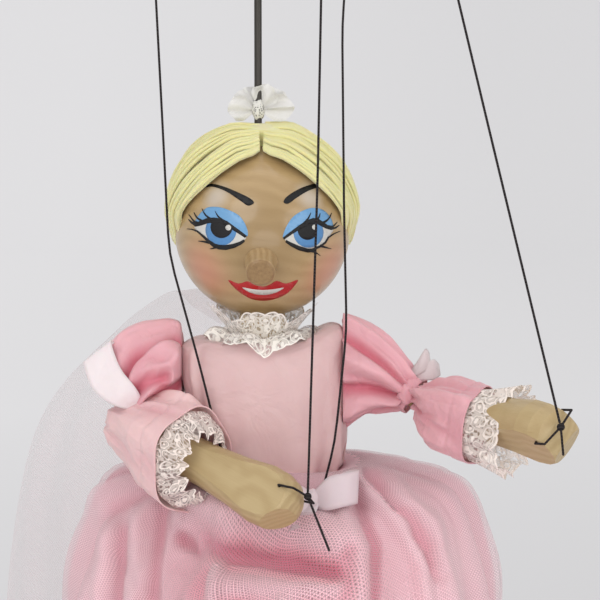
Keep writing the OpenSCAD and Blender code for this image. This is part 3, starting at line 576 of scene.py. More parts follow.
def net(name, light, deep, cell, open_share, haze, sheen=0.1, front=None, painted_hollow_shade=None):
    """Tulle: a six-sided net whose holes let one see through; front deepens it around a place."""
    material, tree, shader = finish_of(name, Roughness=0.7, Sheen_Weight=sheen, Specular_IOR_Level=0.25)
    folds = use_group(tree, "Cloth creases", Vector=coordinates(tree), Size=14.0)
    colour = mixed(tree, folds["Shade"], light, deep)
    if front:
        at, near, far, front_light, front_deep, front_haze = front
        share = around(tree, coordinates(tree), at, near, far)
        colour = mixed(tree, share, colour, mixed(tree, folds["Shade"], front_light, front_deep))
        haze = times_plus(tree, share, front_haze - haze, haze)
    # Painted shade in the hollows of the folds and a painted highlight on their tops.
    if painted_hollow_shade:
        colour = painted_fold_shade(tree, colour, light, painted_hollow_shade)
    threads = use_group(tree, "Six sided net", Vector=coordinates(tree, "UV"), Cell=cell, Open=open_share,
                        Haze=haze)
    feed(tree, shader.inputs, Base_Color=colour, Alpha=threads["Alpha"])
    bump(tree, shader, threads["Height"], 0.00025)
    return material


def lace_cloth(name, colour, motif, depth, ground):
    material, tree, shader = finish_of(name, Roughness=0.62, Sheen_Weight=0.5, Specular_IOR_Level=0.3)
    pattern = use_group(tree, "Flower lace", Vector=coordinates(tree, "UV"), Motif=motif, Depth=depth,
                        Ground=ground)
    tone = soft_noise(tree, coordinates(tree), 180.0, 2.0)
    feed(tree, shader.inputs, Base_Color=mixed(tree, tone, colour, shaded(colour, 0.92)),
         Alpha=pattern["Alpha"])
    bump(tree, shader, pattern["Height"], 0.0003)
    return material


def enamel(name, colour, rough=0.28, coat=0.35):
    """Hand brushed paint with faint brush marks."""
    material, tree, shader = finish_of(name, Coat_Weight=coat, Coat_Roughness=0.12)
    brush = soft_noise(tree, coordinates(tree, scale=(0.25, 1, 1)), 1500.0, 2.0)
    feed(tree, shader.inputs, Base_Color=mixed(tree, brush, colour, shaded(colour, 0.84)),
         Roughness=times_plus(tree, brush, 0.15, rough))
    bump(tree, shader, brush, 0.00004)
    return material


def yarn(name, light, deep):
    material, tree, shader = finish_of(name, Roughness=0.85, Sheen_Weight=0.7, Sheen_Roughness=0.5,
                                       Specular_IOR_Level=0.15, Subsurface_Weight=0.1, Subsurface_Scale=0.003)
    fuzz = soft_noise(tree, coordinates(tree), 2600.0, 5.0, Roughness=0.7)
    patch = soft_noise(tree, coordinates(tree), 120.0, 2.0)
    share = times_plus(tree, fuzz, 0.5, times(tree, patch, 0.5))
    feed(tree, shader.inputs, Base_Color=mixed(tree, share, light, deep))
    bump(tree, shader, fuzz, 0.0005)
    return material


def thread_finish():
    material, tree, shader = finish_of("black_thread", Roughness=0.8, Specular_IOR_Level=0.2)
    lay = node(tree, "ShaderNodeTexWave", {"Vector": coordinates(tree, turn=(0.5, 0, 0)), "Scale": 300.0,
                                           "Distortion": 1.5},
               wave_type="BANDS", bands_direction="Z").outputs["Fac"]
    feed(tree, shader.inputs, Base_Color=mixed(tree, lay, paint(24, 21, 22), paint(52, 46, 47)))
    bump(tree, shader, lay, 0.0001)
    return material


BLACK_THREAD = thread_finish()
BAR_WOOD = wood("bar_wood", paint(196, 160, 112), paint(148, 106, 62), turn=(math.radians(90), 0, 0),
                ring=3.2, coat=0.1)
LIMB_WOOD = wood("limb_wood", paint(190, 168, 126), paint(170, 145, 102), ring=3.4)
BODY_WOOD = wood("body_wood", paint(204, 182, 138), paint(170, 142, 96), ring=4.4)
STEEL = metal("bright_steel", paint(176, 176, 178), 0.22)
ROD_STEEL = metal("dull_steel", paint(84, 81, 77), 0.32)
# The last colour given to some cloths below is painted shade for the hollows of their folds.
SLEEVE_SATIN = satin("sleeve_satin", paint(228, 174, 181), paint(218, 156, 166), crease=12.0,
                     painted_hollow_shade=paint(208, 114, 130))
BODICE_SATIN = satin("bodice_satin", paint(224, 192, 191), paint(213, 177, 177), crease=14.0,
                     painted_hollow_shade=paint(196, 148, 150))
LINING_SATIN = satin("lining_satin", paint(246, 150, 172), paint(232, 124, 150), crease=16.0)
PALE_SATIN = satin("pale_satin", paint(235, 199, 198), paint(227, 183, 186), crease=12.0,
                   painted_hollow_shade=paint(214, 148, 158))
SOFT_RIBBON = satin("soft_ribbon", paint(244, 234, 234), paint(230, 214, 218), pitch=0.3, sheen=0.4,
                    rough=0.5, crease=14.0, crease_height=0.0006)
RIBBON_SATIN = satin("ribbon_satin", paint(222, 208, 211), paint(208, 188, 194), pitch=0.3, sheen=0.1,
                     rough=0.35, crease=20.0, crease_height=0.0003)
FRONT_OF_SKIRT = place(2, -78, -122)
SKIRT_TULLE = net("skirt_tulle", paint(246, 204, 212), paint(238, 184, 196), 1.7, 0.9, 0.86, sheen=0.55,
                  front=(FRONT_OF_SKIRT, 0.02, 0.07, paint(250, 170, 186), paint(244, 148, 168), 0.2),
                  painted_hollow_shade=paint(226, 114, 142))
SHEER_TULLE = net("sheer_tulle", paint(255, 230, 235), paint(254, 218, 226), 1.1, -1.1, 0.3, sheen=0.7,
                  front=(FRONT_OF_SKIRT, 0.02, 0.06, paint(254, 214, 222), paint(250, 200, 212), 0.02))
VEIL_TULLE = net("veil_tulle", paint(255, 230, 234), paint(255, 216, 222), 0.9, -1.4, 0.13, sheen=1.0)
ORGANZA = net("organza", paint(255, 253, 250), paint(246, 244, 238), 0.4, 0.4, 0.4, sheen=0.8)
PINK_ORGANZA = net("pink_organza", paint(250, 236, 236), paint(240, 220, 222), 0.4, 0.4, 0.5, sheen=0.6)
COLLAR_LACE = lace_cloth("collar_lace", paint(255, 250, 242), 5.6, 14.5, 0.7)
CUFF_LACE = lace_cloth("cuff_lace", paint(252, 238, 230), 4.6, 13.4, 0.62)
LEFT_CUFF_LACE = lace_cloth("left_cuff_lace", paint(250, 238, 230), 5.4, 17.6, 0.66)
YARN = yarn("yellow_yarn", paint(252, 246, 186), paint(236, 226, 150))
BEAD_PAINT = enamel("bead_varnish", paint(140, 86, 48))
SHOE_PAINT = enamel("shoe_paint", paint(226, 120, 150))

for cord_name, cord_route in ROUTES.items():
    make_string("string_" + cord_name, cord_route, cord_name + "_line", cord_name + "_string", BLACK_THREAD)


# Meshes
def to_object(bm, name, material):
    mesh = bpy.data.meshes.new(name)
    bm.to_mesh(mesh)
    bm.free()
    shade_smooth(mesh)
    return new_object(name, mesh, material)


def thicken(piece, wall):
    """Gives a sheet a wall, in millimetres, behind its face."""
    modifier = piece.modifiers.new("wall", "SOLIDIFY")
    modifier.thickness = wall * MM
    modifier.offset = -1
    graph = bpy.context.evaluated_depsgraph_get()
    baked = bpy.data.meshes.new_from_object(piece.evaluated_get(graph))
    piece.modifiers.clear()
    old = piece.data
    piece.data = baked
    baked.name = old.name
    bpy.data.meshes.remove(old)
    shade_smooth(baked)


def cloth(name, across, down, spot, size, material, loop=False, thick=0.0):
    """A sheet of across by down faces; spot(u, v) gives a place in mm and, fourth, how far a fold rises."""
    bm = bmesh.new()
    bmesh.ops.create_grid(bm, x_segments=across, y_segments=down, size=0.5, calc_uvs=True)
    uv = bm.loops.layers.uv.verify()
    rise = bm.verts.layers.float.new("rise")
    for face in bm.faces:
        for corner in face.loops:
            p = corner.vert.co
            corner[uv].uv = ((p.x + 0.5) * size[0], (p.y + 0.5) * size[1])
    for v in bm.verts:
        where = tuple(spot(v.co.x + 0.5, v.co.y + 0.5))
        v.co = place(*where[:3])
        v[rise] = where[3] if len(where) > 3 else 0.0
    if loop:
        bmesh.ops.remove_doubles(bm, verts=bm.verts[:], dist=0.00002)
        bmesh.ops.recalc_face_normals(bm, faces=bm.faces[:])
    piece = to_object(bm, name, material)
    if thick:
        thicken(piece, thick)
    return piece


# Painted face, in millimetres on the plane that faces the viewer through the centre of the head
PAINT_STEP = 1.5
PAINT_SINK = 0.05


def on_ball(x, z, lift=0.0):
    """Where the line of sight through a point of the face meets the ball."""
    centre = HEAD * MM
    through_point = centre + Vector((x * MM, 0, 0)) + UP * z * MM
    ray = (through_point - EYE).normalized()
    back = EYE - centre
    half = back.dot(ray)
    gap = half * half - back.dot(back) + ((BALL_R + lift) * MM) ** 2
    return EYE + ray * (-half - math.sqrt(max(gap, 0)))


def rounded(points, steps=4):
    """A closed outline with smooth stretches between the given points."""
    ring = [Vector(p) for p in points]
    found = []
    for k in range(len(ring)):
        four = [ring[(k + j) % len(ring)] for j in (-1, 0, 1, 2)]
        found += [smooth_line(*four, i / steps) for i in range(steps)]
    return found


def stroke(points, widths, steps=10):
    """The outline of a brush stroke along points, with its width at each."""
    line = [through([(*p, 0) for p in points], k / steps) for k in range(steps + 1)]
    wide = [through([(w, 0, 0) for w in widths], k / steps).x for k in range(steps + 1)]
    one, other = [], []
    for k, p in enumerate(line):
        along = (line[min(k + 1, steps)] - line[max(k - 1, 0)]).normalized()
        side = Vector((-along.y, along.x, 0)) * max(wide[k], 0.05) / 2
        one.append((p + side).to_2d())
        other.append((p - side).to_2d())
    return one + other[::-1]


def circle(x, z, r, steps=40):
    turns = [math.tau * k / steps for k in range(steps)]
    return [Vector((x + r * math.cos(a), z + r * math.sin(a))) for a in turns]


def inside(point, outline):
    """True if a point of the face lies within an outline."""
    hit = False
    for a, b in zip(outline, outline[1:] + outline[:1]):
        if (a.y > point.y) != (b.y > point.y) and point.x < (b.x - a.x) * (point.y - a.y) / (b.y - a.y) + a.x:
            hit = not hit
    return hit


def clip(outline, within, step=0.02):
    """A round outline pulled in where it leaves the eye."""
    centre = sum(outline, Vector((0, 0))) / len(outline)
    found = []
    for p in outline:
        t = 1.0
        while t > step and not inside(centre + (p - centre) * t, within):
            t -= step
        found.append(centre + (p - centre) * t)
    return found


def all_of(bm):
    return bm.verts[:] + bm.edges[:] + bm.faces[:]


def film(name, outlines, lift, material):
    """A thin film of paint on the ball, within one or more outlines of the face."""
    bm = bmesh.new()
    for outline in outlines:
        ring = [bm.verts.new((p.x, 0, p.y)) for p in outline]
        edges = [bm.edges.new((a, b)) for a, b in zip(ring, ring[1:] + ring[:1])]
        bmesh.ops.triangle_fill(bm, edges=edges, use_beauty=True, normal=(0, -1, 0))
    points = [p for outline in outlines for p in outline]
    for k, axis in ((0, Vector((1, 0, 0))), (1, Vector((0, 0, 1)))):
        at = min(p[k] for p in points)
        cuts = 1
        while at + cuts * PAINT_STEP < max(p[k] for p in points):
            bmesh.ops.bisect_plane(bm, geom=all_of(bm), dist=0.0005, plane_co=axis * (at + cuts * PAINT_STEP),
                                   plane_no=axis)
            cuts += 1
    for v in bm.verts:
        v.co = on_ball(v.co.x, v.co.z, lift)
    for face in bm.faces:
        face.normal_update()
        if face.normal.dot(face.calc_center_median() - HEAD * MM) < 0:
            face.normal_flip()
    piece = to_object(bm, name, material)
    thicken(piece, lift + PAINT_SINK)
    ride(piece, "head", "figure_wood")


LEFT_BROW = [(-27.0, 14.8), (-21.4, 17.8), (-15.8, 16.9), (-9.6, 14.4), (-4.8, 12.0), (-3.4, 10.2),
             (-5.8, 9.2), (-8.6, 11.0), (-14.8, 15.0), (-21.0, 16.8)]
RIGHT_BROW = [(8.5, 10.6), (9.8, 12.8), (14.6, 15.8), (20.2, 17.8), (24.6, 18.0), (27.8, 16.4), (30.2, 13.4),
              (27.6, 15.8), (24.6, 16.8), (19.0, 15.4), (13.8, 12.4), (10.4, 10.0)]
LEFT_SHADOW = [(-26.6, 1.6), (-26.0, 4.6), (-22.4, 8.2), (-18.6, 8.7), (-14.4, 7.8), (-9.6, 5.4), (-7.0, 2.0),
               (-5.8, -1.6), (-6.8, -3.2), (-12.2, 0.4), (-16.6, 3.0), (-22.2, 3.0)]
RIGHT_SHADOW = [(8.2, -3.0), (9.8, 1.2), (12.6, 5.0), (16.9, 7.5), (20.8, 8.3), (24.6, 7.2), (27.4, 4.0),
                (28.2, 0.4), (25.0, 1.0), (22.1, 2.8), (19.0, 2.8), (13.8, -0.3), (9.2, -3.8)]
LEFT_WHITE = [(-26.8, 0.9), (-22.2, 3.0), (-16.6, 3.0), (-12.2, 0.4), (-6.8, -3.2), (-7.4, -4.6),
              (-10.4, -6.2), (-15.6, -7.2), (-19.6, -6.2), (-23.4, -3.0), (-26.4, -0.6)]
RIGHT_WHITE = [(9.2, -3.9), (13.8, -0.3), (19.0, 2.6), (22.1, 2.6), (25.0, 0.9), (28.2, -0.2), (26.9, -2.8),
               (24.6, -5.8), (21.2, -7.5), (17.0, -8.1), (13.8, -7.2), (10.0, -5.2)]
LIPS = [(-13.6, -20.5), (-9.6, -22.0), (-6.0, -21.1), (-2.8, -22.4), (0.3, -23.2), (3.2, -22.3), (5.8, -20.9),
        (9.6, -22.0), (14.2, -20.5), (12.2, -23.6), (9.4, -26.2), (5.0, -28.1), (0.4, -28.8), (-4.4, -28.1),
        (-8.8, -25.6), (-11.6, -23.2)]
TEETH = [(-8.0, -23.5), (-4.0, -24.2), (0.2, -24.5), (4.6, -24.2), (8.6, -23.6), (6.0, -25.3), (3.0, -26.2),
         (0.3, -26.5), (-2.6, -26.2), (-5.6, -25.2)]
BLUSH = [(-23.5, -16.0), (27.0, -16.0)]
# Places of the painted highlights under the brows
BROW_HIGHLIGHTS = [(-18.5, 12.8), (19.0, 13.0)]

# Lines around the eyes: points and widths
EYE_LINES = [
    ([(-29.6, 3.7), (-26.6, 1.5), (-22.2, 3.1), (-16.6, 3.1), (-12.2, 0.6), (-6.6, -3.3)],
     [0.2, 1.5, 2.1, 2.0, 1.6, 1.1]),
    ([(-30.2, -0.1), (-26.6, -0.7), (-23.4, -3.3), (-19.6, -6.5), (-15.6, -7.6), (-10.4, -6.6), (-7.2, -4.7)],
     [0.2, 0.6, 0.9, 1.5, 2.0, 1.6, 0.9]),
    ([(30.8, 1.4), (28.2, -0.1), (25.0, 1.1), (22.1, 2.9), (19.0, 2.9), (13.8, -0.2), (8.4, -4.0)],
     [0.2, 1.0, 1.7, 2.1, 2.0, 1.4, 0.9]),
    ([(9.4, -5.0), (13.8, -7.5), (19.0, -8.9), (21.2, -7.9), (24.6, -6.2), (26.9, -3.0), (31.2, -1.0)],
     [1.0, 1.7, 1.5, 1.0, 0.8, 0.6, 0.2])]
LASHES = [
    [(-27.4, 6.5), (-26.2, 4.4), (-23.9, 2.9)], [(-24.2, 8.0), (-22.7, 5.4), (-20.0, 3.4)],
    [(-18.9, 7.0), (-17.6, 4.8), (-15.2, 2.8)], [(-29.4, 5.6), (-27.4, 3.0), (-25.0, 2.2)],
    [(-25.6, -5.0), (-23.6, -5.2), (-21.4, -5.6)], [(-21.0, -8.1), (-19.4, -7.8), (-17.4, -7.2)],
    [(19.4, 6.4), (18.4, 4.2), (16.6, 2.0)], [(23.1, 6.2), (22.6, 4.6), (21.5, 2.8)],
    [(27.7, 6.2), (26.4, 3.8), (23.8, 2.0)], [(30.0, 2.6), (28.2, 0.9), (26.2, 0.9)],
    [(27.6, -8.1), (25.6, -7.6), (23.0, -6.8)], [(23.2, -10.9), (21.4, -9.6), (18.8, -8.8)]]
LASH_WIDTHS = [0.15, 0.6, 1.0]


def face_wood():
    """Lacquered wood of the head, with rosy cheeks painted in thinly, a painted highlight under each brow,
    and a deeper brown around the nose.
    """
    material, tree, shader = finish_of("face_wood", Coat_Weight=0.55, Coat_Roughness=0.13,
                                       Specular_IOR_Level=0.4)
    spot = node(tree, "ShaderNodeTexCoord").outputs["Object"]
    grain = use_group(tree, "Wood grain", Vector=coordinates(tree, turn=(0, math.radians(82), 0)),
                      Light=paint(186, 158, 116), Dark=paint(166, 138, 96), Ring_spacing=5.5)
    tints = [(at, 0.002, 0.017, 0.5, paint(206, 128, 112)) for at in BLUSH]
    # Painted highlight: pale spots under the brows where the lacquer catches the light.
    tints += [(at, 0.001, 0.0085, 0.5, paint(206, 202, 198)) for at in BROW_HIGHLIGHTS]
    tints.append(((0, -5), 0.008, 0.026, 0.55, paint(136, 108, 64)))
    colour = grain["Color"]
    for at, near, far, strong, tint in tints:
        colour = mixed(tree, times(tree, around(tree, spot, on_ball(*at), near, far), strong), colour, tint)
    feed(tree, shader.inputs, Base_Color=colour, Roughness=times_plus(tree, grain["Roughness"], 0.5, 0.18))
    bump(tree, shader, grain["Height"], 0.00005)
    return material


def nose_wood():
    """The nose peg, with end grain on its face."""
    material, tree, shader = finish_of("nose_wood", Coat_Weight=0.2, Coat_Roughness=0.2,
                                       Specular_IOR_Level=0.4)
    spot = node(tree, "ShaderNodeTexCoord").outputs["Object"]
    down = math.radians(19)
    reach = BALL_R + 9.5
    tip = place(0, -math.cos(down) * reach, -math.sin(down) * reach)
    grain = use_group(tree, "Wood grain", Vector=coordinates(tree, turn=(math.radians(71), 0, 0)),
                      Light=paint(186, 158, 118), Dark=paint(152, 122, 82), Ring_spacing=2.6)
    pores = soft_noise(tree, spot, 900.0, 4.0)
    end_share = around(tree, spot, tip, 0.0052, 0.0058)
    end = mixed(tree, pores, paint(164, 132, 90), paint(120, 92, 60))
    feed(tree, shader.inputs, Base_Color=mixed(tree, end_share, grain["Color"], end),
         Roughness=grain["Roughness"])
    bump(tree, shader, plus(tree, grain["Height"], times(tree, pores, end_share)), 0.00012)
    return material


def paint_face():
    black = enamel("face_black", paint(5, 4, 7), rough=0.5, coat=0.0)
    blue = enamel("face_blue", paint(106, 160, 206))
    iris = enamel("face_iris", paint(80, 136, 190))
    white = enamel("face_white", paint(208, 206, 200))
    red = enamel("face_red", paint(182, 22, 28))
    left, right = rounded(LEFT_WHITE), rounded(RIGHT_WHITE)
    film("brows", [rounded(LEFT_BROW), rounded(RIGHT_BROW)], 0.14, black)
    film("eye_shadow", [rounded(LEFT_SHADOW), rounded(RIGHT_SHADOW)], 0.1, blue)
    film("eye_whites", [left, right], 0.12, white)
    film("irises", [clip(circle(-16.5, -0.6, 6.2), left), clip(circle(18.4, -1.6, 6.0), right)], 0.16, iris)
    film("pupils", [clip(circle(-16.3, 0.6, 4.4), left), clip(circle(18.0, -0.6, 3.9), right)], 0.2, black)
    film("eye_glints", [circle(-13.6, 0.4, 1.15, 16), circle(20.9, 0.6, 1.05, 16)], 0.25, white)
    film("eye_lines", [stroke(*line) for line in EYE_LINES], 0.22, black)
    for k, line in enumerate(LASHES):
        film("lash_%d" % (k + 1), [stroke(line, LASH_WIDTHS, 6)], 0.24, black)
    film("lips", [rounded(LIPS, 3)], 0.14, red)
    film("teeth", [rounded(TEETH, 3)], 0.19, white)


def set_finish(material, *names):
    for name in names:
        data = nodes[name].data
        data.materials.clear()
        data.materials.append(material)


paint_face()
set_finish(face_wood(), "head_ball")
set_finish(nose_wood(), "nose_peg")
set_finish(BODY_WOOD, "neck", "torso")
set_finish(BAR_WOOD, "control_bar", "cross_bar")
set_finish(STEEL, "lap_screws", "rod_pins", "arm_pins", "hip_axle", "right_elbow_pin", "left_elbow_pin",
           "right_knee_pin", "left_knee_pin")
set_finish(ROD_STEEL, "head_rod")


def limb(name, direction):
    """Limb wood with its fibres along the limb."""
    material = LIMB_WOOD.copy()
    material.name = name + "_wood"
    turn = direction.rotation_difference(Vector((0, 0, 1))).to_euler()
    for part in material.node_tree.nodes:
        if part.bl_idname == "ShaderNodeMapping":
            part.inputs["Rotation"].default_value = turn
    set_finish(material, name)


limb("right_upper_arm", RIGHT_UPPER)
limb("left_upper_arm", LEFT_UPPER)
limb("right_forearm", RIGHT_FORE)
limb("left_forearm", LEFT_FORE)
for side_name in ("right", "left"):
    limb(side_name + "_thigh", Vector((0, 0, 1)))
    limb(side_name + "_shin", Vector((0, 0, 1)))
    set_finish(SHOE_PAINT, side_name + "_shoe")
    for thing in ("hand", "knee"):
        set_finish(BLACK_THREAD, "%s_%s_knot" % (side_name, thing))
        set_finish(BEAD_PAINT, "%s_%s_bead" % (side_name, thing))


# Hair of parted yarn
STRANDS = 52
STRAND_R = 1.0
CAP_IN = -2.4
FULL_AT = Vector((-0.66, -0.1, 0.745))


def hair_shell(direction, lift=0.0):
    """Where a direction from the centre of the head meets the outside of the hair."""
    d = direction.normalized()
    wide, high = BALL_R + HAIR_SIDE + lift, BALL_R + HAIR_TOP + lift
    r = 1 / math.sqrt((d.x * d.x + d.y * d.y) / wide ** 2 + d.z * d.z / high ** 2)
    full = max(0, d.dot(FULL_AT)) ** 14
    return d * (r + 1.6 * full)


def lock_points(start, end, lift, sway, forward, steps=20):
    """A strand from the parting down to its end; forward pulls it over the forehead."""
    a, b = start.normalized(), end.normalized()
    angle = math.acos(max(-1, min(1, a.dot(b))))
    points = []
    for k in range(steps + 1):
        t = k / steps
        d = (a * math.sin((1 - t) * angle) + b * math.sin(t * angle)) / math.sin(angle)
        pull = 0.17 * forward * math.sin(math.pi * t ** 0.7)
        d = d + Vector((0, 0.05 * sway * math.sin(math.pi * t) - pull, 0))
        dip = -2.4 * (1 - smooth_step(t / 0.16)) - 4.2 * smooth_step((t - 0.72) / 0.28) - 1.6 * forward ** 3
        points.append(hair_shell(d, lift + dip + 0.45 * math.sin(6 * t + sway * 9)))
    return points


def parting(turn):
    """A place on the parting, from the forehead at -1 to the back of the head at 1."""
    angle = math.radians(mix(-32, 78, (turn + 1) / 2))
    return Vector((0, math.sin(angle), math.cos(angle)))


def lock_end(turn, side):
    """Where a strand ends, from the temple at -1 to the nape at 1."""
    a = math.radians(mix(-14, 88, (turn + 1) / 2))
    y = math.sin(a) * BALL_R
    return Vector((side * math.cos(a) * BALL_R, y, -5.5 - 0.21 * y))


def make_strands():
    """Two layers of strands on each side of the parting."""
    curve = bpy.data.curves.new("hair_strands", "CURVE")
    curve.dimensions = "3D"
    curve.bevel_depth = STRAND_R * MM
    curve.bevel_resolution = 1
    curve.use_fill_caps = True
    for side, layer, k in [(s, n, k) for s in (-1, 1) for n in (-1.7, -0.7) for k in range(STRANDS)]:
        turn = mix(-1, 1, (k + 0.5 * (layer < -1)) / (STRANDS - 0.5))
        shake = rng.uniform(-1, 1)
        start = parting(turn) + Vector((side * 0.03, 0, 0))
        end = lock_end(turn + 0.02 * shake, side)
        forward = smooth_step((-0.25 - turn) / 0.75)
        points = lock_points(start, end, layer + 0.25 * shake, rng.uniform(-0.5, 0.5), forward)
        spline = curve.splines.new("POLY")
        spline.points.add(len(points) - 1)
        for j, (slot_point, p) in enumerate(zip(spline.points, points)):
            slot_point.co = (*place(*p), 1)
            slot_point.radius = 0.9 + 0.15 * math.sin(j * 0.8 + k) + 0.1 * shake
    strands = new_object("hair_strands_curve", curve)
    mesh = bpy.data.meshes.new_from_object(strands)
    bpy.data.objects.remove(strands)
    shade_smooth(mesh)
    mesh.materials.clear()
    ride(new_object("hair_strands", mesh, YARN), "head", "yarn", "hair")


def make_hair_cap():
    """A closed cap under the strands, cut off at the face and at the neck."""
    bm = bmesh.new()
    bmesh.ops.create_uvsphere(bm, u_segments=64, v_segments=40, radius=1)
    for v in bm.verts:
        v.co = hair_shell(v.co, CAP_IN - 1.6 * smooth_step(-v.co.z * 4 + 0.2))
    front, under = math.radians(14.5), math.radians(12)
    cuts = [(Vector((0, -1.6, -5)), Vector((0, -math.cos(front), -math.sin(front)))),
            (Vector((0, 0, -5)), Vector((0, -math.sin(under), -math.cos(under))))]
    for at, outward in cuts:
        bmesh.ops.bisect_plane(bm, geom=all_of(bm), dist=0.0001, plane_co=at, plane_no=outward,
                               clear_outer=True)
        bmesh.ops.edgeloop_fill(bm, edges=[e for e in bm.edges if e.is_boundary])
    for v in bm.verts:
        v.co = place(*v.co)
    ride(to_object(bm, "hair_cap", YARN), "head", "yarn")


make_strands()
make_hair_cap()

# Petals of the hair bow: degrees, length, width and how far forward or back
PETALS = [(178, 12.0, 10.0, -2.5), (156, 11.5, 10.0, 3.0), (118, 10.0, 11.5, 3.5), (64, 10.5, 11.0, -2.0),
          (30, 12.5, 11.0, 2.5), (4, 14.5, 10.0, -2.0)]
BOW_KNOT = Vector((-1.6, 0, BALL_R + HAIR_TOP + 3.0))


def make_petal(k, angle, long, wide, out):
    a = math.radians(angle)
    along, side = Vector((math.cos(a), 0, math.sin(a))), Vector((-math.sin(a), 0, math.cos(a)))

    def spot(u, v):
        spread = (0.16 + 0.84 * smooth_step(v * 1.3)) * wide * (u - 0.5)
        ripple = math.sin(u * 13 + k * 2) * 1.3 * v + wobble(u * 3, v * 3, k) * 1.6 * v
        reach = long * v * (1 - 0.3 * (2 * u - 1) ** 2)
        p = BOW_KNOT + along * reach + side * spread
        return (p.x, p.y + out * v + ripple, p.z + 0.4 * math.sin(u * 9 + k))

    petal = cloth("hair_bow_petal_%d" % (k + 1), 20, 14, spot, (wide, long), ORGANZA)
    ride(petal, "head", "ribbon")
    if k == 0:
        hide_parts("hair_bow")


def glitter_stitches():
    material, tree, shader = finish_of("glitter_stitches", Roughness=0.6)
    speck = between(tree, cells(tree, coordinates(tree), 1400.0, 1.0), 0.36, 0.3)
    feed(tree, shader.inputs, Base_Color=mixed(tree, speck, paint(222, 220, 214), paint(36, 34, 36)))
    bump(tree, shader, speck, 0.0002)
    return material


def make_hair_bow():
    """Organza petals gathered by a few stitches at the rod."""
    for k, petal in enumerate(PETALS):
        make_petal(k, *petal)
    knot = BOW_KNOT
    bm = bmesh.new()
    bmesh.ops.create_uvsphere(bm, u_segments=24, v_segments=16, radius=1)
    for v in bm.verts:
        d = v.co.copy()
        v.co = place(knot.x + d.x * 2.6 * (1 + 0.12 * wobble(*(d * 3))), knot.y + d.y * 2.8,
                     knot.z + d.z * 4.4 + 0.4 * math.sin(6 * d.x))
    ride(to_object(bm, "hair_bow_stitches", glitter_stitches()), "head", "ribbon")


make_hair_bow()

# Bodice: height, half width, half depth, shift to the side
BODICE = [(WAIST_Z - 1, 26.5, 19.5, 5), (-84, 30.2, 20, 3.4), (-72, 31.6, 20.5, 1.6),
          (-60, CLOTH_X - 0.6, 20, 0.2), (-50, CLOTH_X - 0.3, 18, 0), (-46.5, CLOTH_X - 3, 16.5, 0),
          (-44.6, 24, 15.5, 0), (-44.6, NECK_R + 2.4, NECK_R + 2.4, 0)]
SIDE_FOLD_AT = 0.6
SIDE_HOLLOW_AT = 0.622


def squared(c, p):
    """c raised to p with its sign kept: a power below 1 squares a ring's corners."""
    return math.copysign(abs(c) ** p, c)


def hump(t, wide=0.012):
    """1 where t is 0, falling off within about wide."""
    return math.exp(-(t / wide) ** 2)


def bodice_spot(u, v):
    z, half, deep, shift = table_at(BODICE, v)
    a = math.tau * u
    p = mix(0.64, 1, smooth_step((v - 0.86) / 0.14))
    low = smooth_step(1 - v * 1.6)
    pull = math.sin(9 * a + 3.5 * v + 2 * wobble(u * 9, v * 2)) * 0.5 + math.sin(21 * a - 4 * v) * 0.25
    fold = 0.9 * low * pull + 1.1 * wobble(u * 9 + 2 * v, v * 2.2, 4) * (1 - v)
    fold += 0.4 * math.sin(v * 30 + 6 * wobble(u * 5, v * 4)) * smooth_step(1 - v * 4)
    side_fold = hump(u - SIDE_FOLD_AT - 0.03 * v) - 0.7 * hump(u - SIDE_HOLLOW_AT - 0.03 * v)
    fold += 0.9 * side_fold * smooth_step((0.9 - v) / 0.3)
    x = (half + fold) * squared(math.cos(a), p)
    near_top = smooth_step((z + 62) / 14) * smooth_step((half - 13) / 12)
    z += near_top * (8.5 * smooth_step((x - 12) / 20) + 1.5 * smooth_step((-x - 12) / 16))
    return (shift + x, (deep + fold) * squared(math.sin(a), p), z, fold / 3)


def make_bodice():
    piece = cloth("bodice_cloth", 160, 84, bodice_spot, (190, 62), BODICE_SATIN, loop=True, thick=0.8)
    ride(piece, "frame", "bodice_cloth", "bodice")


make_bodice()


def lace_ring(name, rows, waves, depth, size, flat, phase, *stands_for):
    """A gathered lace frill around the neck; rows are height, radius, and how far the waves go."""
    def spot(u, v):
        z, r, wave = table_at(rows, v)
        a = math.tau * u
        w = math.sin(waves * a + phase + 1.2 * wobble(math.cos(a) * 2, math.sin(a) * 2, phase))
        w += 0.45 * math.sin(waves * 2.1 * a + phase * 2)
        lift = depth * w * wave
        r += 0.6 * lift
        return (r * math.cos(a), r * math.sin(a), z + lift + 1.6 * wave * abs(math.cos(a)))

    piece = ride(cloth(name, 420, 14, spot, size, COLLAR_LACE, loop=True), "frame", "lace", *stands_for)


lace_ring("collar_fall", [(-43.2, 12.0, 0), (-41.4, 15.4, 0.4), (-42.8, 19.6, 0.8), (-46.4, 22.4, 1)],
          6, 2.5, (150, 14), (0.13, 0.014), 0.9, "lace_collar")
lace_ring("collar_stand", [(-43.2, 12.0, 0), (-39.8, 14.8, 0.5), (-36.0, 18.2, 0.9), (-32.6, 21.6, 1.1)],
          5, 2.4, (140, 15), (0.13, 0.015), 2.6)

